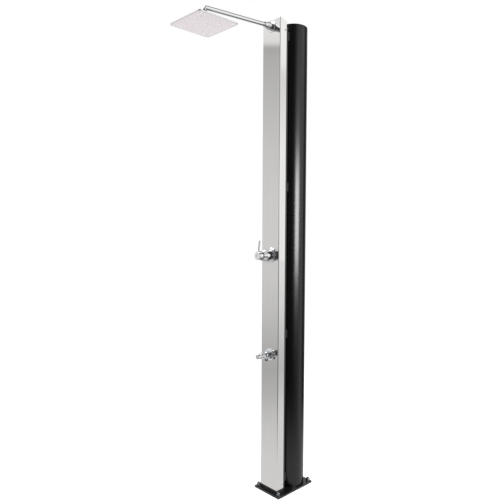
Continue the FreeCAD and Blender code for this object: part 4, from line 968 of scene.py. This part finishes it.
@dataclass
class FootTap(Assembly):
    """Foot-wash tap: rose, body with downward outlet, valve and knob.

    Attributes:
        neck: Radius of the body's neck.
        belly: Radius of the body's round belly.
        belly_at: Its centre, from the cover's face.
        belly_end: End of the body towards the valve.
        outlet_drop: Length of the outlet, from the tap's axis.
        knob_radius: Radius of the knob's skirt.
        knob_bore: Radius of the hollow in the skirt.
        knob_start: Start of the knob, from the cover's face.
        knob_end: End of the knob.
        flutes: Grooves round the skirt.
    """

    neck: float = 12.5
    belly: float = 17.0
    belly_at: float = 24.0
    belly_end: float = 34.0
    outlet_drop: float = 22.0
    knob_radius: float = 16.5
    knob_bore: float = 13.9
    knob_start: float = 38.0
    knob_end: float = 81.5
    flutes: int = 10

    def build(self) -> None:
        """Makes the visible pieces and dresses the inner ones."""
        origin = seat_of("tap_rose")
        rose = [(0, 12.7, 0.2), (0, 27.5, 0.2), (1.6, 27.3, 1.2), (3.8, 23.2, 4.0), (5.0, 17.5, 0.8),
                (5.0, 12.7, 0.3)]
        self.turn("tap_rose", "tap_rose_plate", rose, origin, 112, 8)
        self.body(origin)
        self.knob(origin)
        self.dress(Palette.CHROME, "tap_headwork")
        self.dress(Palette.BRASS, "tap_spindle")

    def body(self, origin: Point) -> None:
        """Makes neck, belly and outlet.

        Formula: the belly is r = sqrt(R^2 - (d - c)^2) between the neck and the valve.

        Args:
            origin: Tap's axis on the cover's face, in millimetres.
        """
        neck, big, centre, end = self.neck, self.belly, self.belly_at, self.belly_end
        meet = centre - math.sqrt(big ** 2 - neck ** 2)
        d = np.linspace(meet + 1.0, end, 22)
        curve = np.column_stack([d, np.sqrt(big ** 2 - (d - centre) ** 2)])
        tail = np.array([(-22.0, 0.0), (-22.0, 10.3), (0.0, 10.3), (0.0, neck), (meet - 2.0, neck),
                         (meet, neck + 0.3)])
        outline = np.vstack([tail, curve, [(end, 9.0), (end, 0.0)]])
        main = grid_object("tap_body_cast", [turned_sheet(outline, origin, OUT, 96)], sharp_deg=40.0)
        spout = (0.0, origin[1] - centre, origin[2])
        drop = self.outlet_drop
        outlet = turned("tap_outlet", [(9.0, 0, 0), (9.0, 12.0, 0.5), (15.5, 9.9, 3.0), (18.0, 9.0, 1.0),
                                       (drop, 9.0, 0.3), (drop, 6.0, 0.3), (12.0, 6.0, 0.2), (12.0, 0, 0)],
                        spout, DOWN, 72)
        self.install(join([main, outlet]), Palette.CHROME, Body.COLUMN, "tap_body")
        ring = [(0.0, 9.15, 0.2), (0.0, 10.5, 0.4), (9.0, 10.5, 0.9), (9.0, 7.4, 0.3), (6.4, 6.6, 0.2),
                (6.4, 0.0, 0.0), (5.3, 0.0, 0.0), (5.3, 9.15, 0.2)]
        seat = (spout[0], spout[1], origin[2] - drop + 5.0)
        self.turn("tap_aerator", "tap_outlet_ring", ring, seat, 72, 7, DOWN)

    def knob(self, origin: Point) -> None:
        """Makes the bell-shaped knob with its fluted skirt, the flutes fading up the bell.

        Args:
            origin: Tap's axis on the cover's face, in millimetres.
        """
        start, end, r, bore = self.knob_start, self.knob_end, self.knob_radius, self.knob_bore
        skirt = rounded_line([(start, r - 2.6), (start, r), (start + 13.0, r - 0.5), (start + 21.0, 12.6),
                              (start + 29.0, 10.5), (end, 10.8), (end, 4.0), (end - 0.8, 0.0)],
                             [0.4, 1.0, 4.0, 5.0, 6.0, 1.4, 2.0, 0.0], False, 10)
        knot = np.linspace(0, 1, 6)[:, None]
        dense = [skirt[:1]]
        for a, b in zip(skirt[:-1], skirt[1:]):
            dense.append(a + (b - a) * (knot[1:] if np.linalg.norm(b - a) > 2.0 else 1.0))
        line = np.vstack(dense)
        columns = self.flutes * 16
        fade = np.clip((start + 15.0 - line[:, 0]) / 3.0, 0, 1) * np.clip(line[:, 1] - bore, 0, 1)
        factor = grooved(line, columns, self.flutes, 3, 1.0, fade)
        inside = rounded_line([(end - 19.0, 0.0), (end - 19.0, 8.0), (start + 9.0, 9.0), (start + 8.0, 12.6),
                               (start + 4.0, bore), (start, bore)], [0, 0.5, 0.5, 0.5, 0.3, 0], False, 4)
        outer = turned_sheet(line, origin, OUT, columns, factor)
        inner = turned_sheet(inside, origin, OUT, columns)
        knob = grid_object("tap_knob_bell", [np.concatenate([outer[::-1], inner[::-1]])], close_rows=True)
        self.install(knob, Palette.CHROME, Body.KNOB, "tap_knob")


@dataclass
class ShowerArm(Assembly):
    """Bent arm with its rose and bell-shaped collar.

    Attributes:
        radius: Radius of the tube.
        wall: Thickness of its wall.
        straight: Level stretch in the collar, from the cover's face.
        fall: Slope towards the head, in degrees.
        soft: Bend radius where the slope starts.
        tight: Bend radius above the head.
    """

    radius: float = 9.0
    wall: float = 1.2
    straight: float = 34.0
    fall: float = 4.2
    soft: float = 120.0
    tight: float = 15.0

    def build(self) -> None:
        """Makes rose, collar and tube."""
        origin = seat_of("arm_rose")
        rose = [(0, 11.2, 0.1), (0, 25.0, 0.2), (1.2, 25.0, 0.9), (3.0, 21.6, 1.2), (3.0, 11.2, 0.2)]
        self.turn("arm_rose", "arm_rose_plate", rose, origin, 112, 8)
        collar = [(3.05, 11.2, 0.2), (3.05, 17.0, 0.5), (15.5, 17.0, 4.0), (32.0, 13.4, 12.0),
                  (48.0, 11.4, 0.4), (48.0, 10.2, 0.4), (28.0, 9.2, 0.5), (15.0, 9.2, 0.2), (15.0, 11.2, 0.2)]
        self.turn("arm_collar", "arm_collar_bell", collar, origin, 112, 9)
        self.tube(origin)
        self.dress(Palette.BRASS, "arm_socket")

    def tube(self, origin: np.ndarray) -> None:
        """Makes the bent tube.

        Args:
            origin: Arm's axis on the cover's face, in millimetres.
        """
        arm_low, _ = millimetres("shower_arm")
        head_y = arm_low[1] + self.radius
        run = origin[1] - head_y - self.straight
        corner = (0.0, head_y, origin[2] - math.tan(math.radians(self.fall)) * run)
        points = [origin + (0, 3.0, 0), origin + (0, -self.straight, 0), corner, (0.0, head_y, arm_low[2])]
        line = rounded_line(points, [0, self.soft, self.tight, 0], False, 20)
        outer, inner = (tube_sheet(line, r, (1.0, 0.0, 0.0)) for r in (self.radius, self.radius - self.wall))
        tube = grid_object("shower_arm_tube", [np.concatenate([outer, inner[::-1]])], close_rows=True)
        self.install(tube, Palette.CHROME, Body.COLUMN, "shower_arm")


@dataclass
class ShowerHead(Assembly):
    """Square head with its ball joint.

    Attributes:
        side: Side of the square.
        thickness: Thickness of the pan.
        corner: Rounding of its corners.
        rows: Nozzles along each side of the grid.
        pitch: Distance between nozzles.
        ball_above: Ball's centre above the face.
        ball_radius: Radius of the ball.
        rim: Width of the pan's rim round the face plate, with its gap.
    """

    side: float = 200.0
    thickness: float = 6.0
    corner: float = 12.0
    rows: int = 9
    pitch: float = 20.0
    ball_above: float = 18.0
    ball_radius: float = 10.0
    rim: float = 3.15

    def __post_init__(self) -> None:
        """Finds the head's middle, its underside and the ball's centre, in millimetres."""
        low, high = millimetres("head_plate")
        self.centre = (0.0, (low[1] + high[1]) / 2)
        self.face = low[2]
        self.ball = (0.0, self.centre[1], self.face + self.ball_above)

    def build(self) -> None:
        """Makes swivel, pan, face plate and nozzles."""
        self.swivel()
        self.pan()
        self.plate()
        self.nozzles()
        self.dress(Palette.ACETAL, "swivel_washer", "swivel_seat")

    def swivel(self) -> None:
        """Makes the hexagon with neck and ball, and the grooved ring nut round the ball."""
        rise = np.linspace(-np.pi / 2, np.arccos(0.5), 26)
        ball = self.ball_radius * np.column_stack([np.sin(rise), np.cos(rise)])
        neck = rounded_line([(ball[-1][0], 5.0), (18.6, 5.0), (22.0, 10.6), (22.0, 0.0)],
                            [0, 1.2, 0.8, 0], False, 6)
        round_part = grid_object("swivel_ball_neck",
                                 [turned_sheet(np.vstack([ball, neck[1:]]), self.ball, UP, 64)])
        flats = 24.0
        wide = flats / math.sqrt(3)
        rows = [(22.0, 9.0), (22.0, 11.2), (22.8, wide - 0.4), (24.0, wide + 0.2), (36.0, wide + 0.2),
                (37.2, wide - 0.4), (38.0, 11.2), (38.0, 9.15), (24.2, 9.15)]
        hexagon = grid_object("swivel_hexagon", [hexagon_sheet(flats, rows, self.ball, UP)], sharp_deg=25.0)
        self.install(join([round_part, hexagon]), Palette.CHROME, Body.COLUMN, "swivel_ball")
        low = self.thickness + 4 - self.ball_above
        outer = rounded_line([(0.2, 17.15), (low, 17.15), (low, 19.5), (8.0, 19.5), (8.0, 10.4), (6.5, 9.0),
                              (3.6, 11.0), (0.2, 11.6)], [0.1, 0.3, 0.8, 2.6, 0.8, 0.3, 0.2, 0.2], True, 8)
        grooves = 12
        columns = grooves * 14
        fade = np.clip((outer[:, 1] - 18.3) / 0.8, 0, 1) * np.clip((5.4 - outer[:, 0]) / 1.2, 0, 1)
        factor = grooved(outer, columns, grooves, 5, 0.6, fade)
        nut = grid_object("swivel_ring_nut", [turned_sheet(outer, self.ball, UP, columns, factor)],
                          close_rows=True)
        self.install(nut, Palette.CHROME, Body.HEAD, "swivel_nut")

    def pan(self) -> None:
        """Makes the slim pan with its folded rim and the raised seat of the ball.

        Formula: rounded squares whose half side and height follow the rim's section.
        """
        half, top = self.side / 2, self.face + self.thickness
        section = rounded_line([(half - 3.0, self.face + 3.4), (half - 3.0, self.face), (half, self.face),
                                (half, top), (30.0, top)], [0.2, 0.3, 0.6, 1.5, 0.0], False, 6)
        rings = []
        for reach, z in section:
            ring = rounded_square(reach, max(1.0, self.corner - (half - reach)), self.centre)
            rings.append(lifted(ring, z))
        pan = grid_object("head_pan", [np.stack(rings) * MM], caps=True, sharp_deg=30.0)
        low = self.thickness - self.ball_above
        rows = [(low - 1, 0, 0), (low - 1, 30, 0), (low, 30, 0.3), (low + 1.1, 24, 8.0), (low + 3, 18.4, 1.5),
                (low + 3, 17, 0.4), (0, 17, 0.5), (0, 12, 0.3), (-6, 9, 0.5), (-6, 0, 0)]
        seat = turned("head_ball_seat", rows, self.ball, UP)
        self.install(join([pan, seat]), Palette.PAN, Body.HEAD, "head_shell")

    def plate(self) -> None:
        """Makes the thin face plate let into the pan."""
        half, radius = self.side / 2 - self.rim, self.corner - self.rim
        rings = [lifted(rounded_square(half - inset, radius - inset, self.centre), self.face + z)
                 for inset, z in ((0.0, 1.5), (0.0, 0.3), (0.1, 0.08), (0.35, 0.0))]
        plate = grid_object("head_face_plate", [np.stack(rings) * MM], caps=True, sharp_deg=30.0)
        self.install(plate, Palette.FACE, Body.HEAD, "head_plate")

    def nozzles(self) -> None:
        """Makes the grid of soft nozzles, each a small cone with a rounded tip and a bore."""
        outline = rounded_line([(0.0, 2.2), (0.5, 2.0), (2.0, 1.3), (2.0, 0.6), (0.8, 0.5), (0.8, 0.0)],
                               [0, 0.3, 0.35, 0.15, 0.1, 0], False, 4)
        step = (np.arange(self.rows) - (self.rows - 1) / 2) * self.pitch
        sheets = [turned_sheet(outline, (x, self.centre[1] + y, self.face), DOWN, 18)
                  for x in step for y in step]
        nozzles = grid_object("head_nozzle_grid", sheets, sharp_deg=40.0)
        self.install(nozzles, Palette.SILICONE, Body.HEAD, "head_nozzles")


# ---------------------------------------------------------------- studio


@dataclass
class Studio:
    """Floor, surroundings, lamps and camera.

    Attributes:
        lens: Focal length on a 36 mm wide sensor.
        place: Camera's place, in metres.
        heading: Turn of the view from +Y towards -X, in degrees.
        tilt: Tilt of the view above the level, in degrees.
        roll: Roll of the camera, in degrees.
        facing: Light that metal mirrors from the left, by the sine of its elevation.
        beside: The same from the right, the two blending in front and behind.
        around: Factor on both by heading, in degrees, 0 in front and 90 on the right.
        glow_up: Soft glow on the right by the sine of its elevation.
        glow_across: Factor on the glow by heading.
        ground: Light that metal mirrors from the floor, by distance from the post in metres.
        room_from: Distances over which the factor around fades in on the floor.
        room_light: Even light of the room on matt surfaces.
        floor_half: Half the floor's side, in metres.
        floor_grey: Colour of the matt floor.
        floor_glow: Light added to the floor in the picture, so that it comes out near white.
    """

    lens: float = 36.46
    place: tuple[float, float, float] = (1.6485, -1.7820, 1.2587)
    heading: float = 46.76
    tilt: float = -2.64
    roll: float = 0.26
    facing: Stops = ((-1.0, 0.9), (0.0, 0.96), (0.052, 0.95), (0.15, 0.88), (0.242, 0.77), (0.279, 0.72),
                     (0.312, 0.67), (0.331, 0.59), (0.335, 1.12), (0.36, 1.2), (0.45, 1.0), (0.6, 0.8),
                     (1.0, 0.62))
    beside: Stops = ((-1.0, 1.0), (0.0, 1.05), (0.052, 1.05), (0.15, 1.07), (0.23, 0.92), (0.28, 0.87),
                     (0.3, 1.06), (0.36, 1.13), (0.45, 1.0), (0.6, 0.8), (1.0, 0.62))
    around: Stops = ((-180, 0.2), (-155, 0.75), (-138, 1.0), (-75, 1.0), (-38, 1.0), (-20, 0.8), (0, 0.5),
                     (18, 0.14), (30, 0.09), (62, 0.09), (80, 0.2), (104, 0.5), (122, 1.22), (143, 1.22),
                     (149, 0.3), (158, 0.1), (180, 0.2))
    glow_up: Stops = ((-0.12, 0.0), (0.1, 1.25), (0.28, 1.1), (0.5, 0.0))
    glow_across: Stops = ((58, 0.0), (92, 1.3), (124, 0.0))
    ground: Stops = ((0.0, 0.97), (0.42, 0.96), (0.83, 0.88), (1.05, 0.82), (1.43, 0.71), (2.1, 0.61),
                     (3.0, 0.68), (4.2, 0.77), (5.6, 0.84), (9.0, 0.9), (10.0, 0.92))
    room_from: tuple[float, float] = (0.35, 1.3)
    room_light: tuple[float, float, float] = (0.55, 0.55, 0.56)
    floor_half: float = 12.0
    floor_grey: tuple[float, float, float] = (0.78, 0.78, 0.78)
    floor_glow: float = 0.6

    def build(self) -> None:
        """Makes the whole studio."""
        self.world()
        self.floor()
        self.lamps()
        self.camera()

    def world(self) -> None:
        """White backdrop, and soft surroundings that metal reflects."""
        world = bpy.data.worlds.new("studio")
        bpy.context.scene.world = world
        tree = empty_tree(world)
        place = add_node(tree, "TexCoord")
        split = add_node(tree, "SeparateXYZ", links={"Vector": place.outputs["Generated"]})
        height = share_of(tree, split.outputs["Z"], -1.0, 1.0)
        front, side = (self.ramp(tree, height, stops, -1.0, 1.0) for stops in (self.facing, self.beside))
        sides = blended(tree, "MIX", front, side, share_of(tree, split.outputs["X"], -0.2, 0.2))
        walls = blended(tree, "MULTIPLY", sides, self.room(tree, split))
        glow = blended(tree, "MULTIPLY", self.ramp(tree, height, self.glow_up, -1.0, 1.0, "EASE"),
                       self.ramp(tree, self.bearing(tree, split), self.glow_across, -180.0, 180.0, "EASE"))
        mirrored = add_node(tree, "Background", values={"Strength": BRIGHTEST},
                            links={"Color": blended(tree, "ADD", walls, glow)})
        diffuse = add_node(tree, "Background", values={"Color": (*self.room_light, 1.0)})
        white = add_node(tree, "Background", values={"Color": (1.0, 1.0, 1.0, 1.0)})
        lit = split_rays(tree, "Is Glossy Ray", diffuse, mirrored)
        seen = split_rays(tree, "Is Camera Ray", lit, white)
        add_node(tree, "OutputWorld", links={"Surface": seen.outputs[0]})

    def room(self, tree: Tree, split: Node) -> Socket:
        """Adds the light round the post by its heading, 1 where the ramp's stop says 1."""
        stops = [(heading, light * BRIGHTEST) for heading, light in self.around]
        return self.ramp(tree, self.bearing(tree, split), stops, -180.0, 180.0)

    @staticmethod
    def bearing(tree: Tree, split: Node) -> Socket:
        """Adds the heading of a direction or place.

        Formula: heading = arctan(x / -y), from 0 in front to 90 degrees on the right.

        Args:
            tree: Node tree that takes the nodes.
            split: Node with the direction's or place's X and Y.

        Returns:
            The heading, as a share of the way from -180 to 180 degrees.
        """
        forward = add_node(tree, "Math", {"operation": "MULTIPLY"}, {1: -1.0}, {0: split.outputs["Y"]})
        angle = add_node(tree, "Math", {"operation": "ARCTAN2"},
                         links={0: split.outputs["X"], 1: forward.outputs[0]})
        return share_of(tree, angle.outputs[0], -math.pi, math.pi)

    @staticmethod
    def ramp(tree: Tree, value: Socket, stops: Stops, low: float, high: float,
             between: str = "LINEAR") -> Socket:
        """Adds a grey ramp over a range.

        Args:
            tree: Node tree that takes the node.
            value: Share of the range.
            stops: Place and light of each stop.
            low: Start of the range.
            high: End of the range.
            between: Blender's name of the way that the light changes between stops.

        Returns:
            The light, as a share of the brightest.
        """
        places = [((at - low) / (high - low), (grey / BRIGHTEST,) * 3) for at, grey in stops]
        node = fill_ramp(add_node(tree, "ValToRGB", links={"Fac": value}), places)
        node.color_ramp.interpolation = between
        return node.outputs["Color"]

    def floor(self) -> None:
        """Pale floor that keeps the shadow and shows softly in metal."""
        half, reach = self.floor_half, self.ground[-1][0]
        mesh = bpy.data.meshes.new("floor")
        corners = [(-half, -half, 0.0), (half, -half, 0.0), (half, half, 0.0), (-half, half, 0.0)]
        mesh.from_pydata(corners, [], [(0, 1, 2, 3)])
        floor = bpy.data.objects.new("floor", mesh)
        bpy.context.scene.collection.objects.link(floor)
        material = bpy.data.materials.new("pale_studio_floor")
        tree = empty_tree(material)
        place = add_node(tree, "TexCoord")
        far = add_node(tree, "VectorMath", {"operation": "LENGTH"}, links={0: place.outputs["Object"]})
        ramp = self.ramp(tree, share_of(tree, far.outputs["Value"], 0.0, reach), self.ground, 0.0, reach)
        split = add_node(tree, "SeparateXYZ", links={"Vector": place.outputs["Object"]})
        away = share_of(tree, far.outputs["Value"], *self.room_from)
        dimmed = blended(tree, "MULTIPLY", ramp, self.room(tree, split), away)
        matt = add_node(tree, "BsdfDiffuse", values={"Color": (*self.floor_grey, 1.0)})
        glow = add_node(tree, "Emission", values={"Strength": self.floor_glow})
        lit = add_node(tree, "AddShader", links={0: matt.outputs[0], 1: glow.outputs[0]})
        mirrored = add_node(tree, "Emission", values={"Strength": BRIGHTEST}, links={"Color": dimmed})
        seen = split_rays(tree, "Is Glossy Ray", split_rays(tree, "Is Camera Ray", matt, lit), mirrored)
        add_node(tree, "OutputMaterial", links={"Surface": seen.outputs[0]})
        floor.data.materials.append(material)

    def lamp(self, name: str, place: Point, aim: Point, size: tuple[float, float],
             watts: float) -> Piece:
        """Adds one soft rectangular lamp.

        Args:
            name: Name of the lamp.
            place: Its place, in metres.
            aim: Point that it faces.
            size: Width and height, in metres.
            watts: Its power.

        Returns:
            The lamp.
        """
        data = bpy.data.lights.new(name, "AREA")
        data.shape = "RECTANGLE"
        data.size, data.size_y = size
        data.energy = watts
        lamp = bpy.data.objects.new(name, data)
        bpy.context.scene.collection.objects.link(lamp)
        lamp.location = place
        lamp.rotation_mode = "QUATERNION"
        lamp.rotation_quaternion = (Vector(place) - Vector(aim)).to_track_quat("Z", "Y")
        return lamp

    def lamps(self) -> None:
        """One soft lamp on the right, kept off sheet and chrome, and a weak one from above."""
        side = self.lamp("side_softbox", (2.6, -0.05, 1.37), (0.0, 0.0, 1.25), (1.4, 1.0), 84.0)
        spared = bpy.data.collections.new("spared_by_side_softbox")
        polished = {finish.name for finish in (Palette.COVER, Palette.CHROME, Palette.PAN, Palette.FACE)}
        for piece in bpy.data.objects:
            made = piece.type == "MESH" and piece.name not in frame["nodes"]
            if made and piece.data.materials[0].name in polished:
                spared.objects.link(piece)
        for entry in spared.collection_objects:
            entry.light_linking.link_state = "EXCLUDE"
        side.light_linking.receiver_collection = spared
        self.lamp("top_softbox", (-0.8, -1.4, 4.2), (0.0, -0.1, 1.0), (2.5, 2.5), 60.0)

    def camera(self) -> None:
        """Places the camera at the photograph's viewpoint.

        Formula: f = (-sin a cos t, cos a cos t, sin t), right = (cos a, sin a, 0) turned by the
        roll about f.
        """
        a, t, k = (math.radians(v) for v in (self.heading, self.tilt, self.roll))
        ahead = Vector((-math.sin(a) * math.cos(t), math.cos(a) * math.cos(t), math.sin(t)))
        level = Vector((math.cos(a), math.sin(a), 0.0))
        above = level.cross(ahead)
        right = level * math.cos(k) + above * math.sin(k)
        up = above * math.cos(k) - level * math.sin(k)
        data = bpy.data.cameras.new("view")
        data.sensor_width = 36.0
        data.lens = self.lens
        data.clip_end = 200.0
        camera = bpy.data.objects.new("view", data)
        bpy.context.scene.collection.objects.link(camera)
        turn = Matrix((right, up, -ahead)).transposed().to_4x4()
        camera.matrix_world = Matrix.Translation(self.place) @ turn
        bpy.context.scene.camera = camera
        bpy.context.scene.view_settings.view_transform = "Standard"


def main() -> None:
    """Builds every sub-assembly and the studio."""
    logging.basicConfig(level=logging.INFO, format="%(message)s")
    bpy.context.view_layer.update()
    palette = Palette()
    for part in (FloorPlate, FrontCover, Tank, Mixer, FootTap, ShowerArm, ShowerHead):
        part(palette).build()
        LOG.info("built %s", part.__name__)
    Studio().build()
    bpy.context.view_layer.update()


if __name__ == "__main__":
    main()
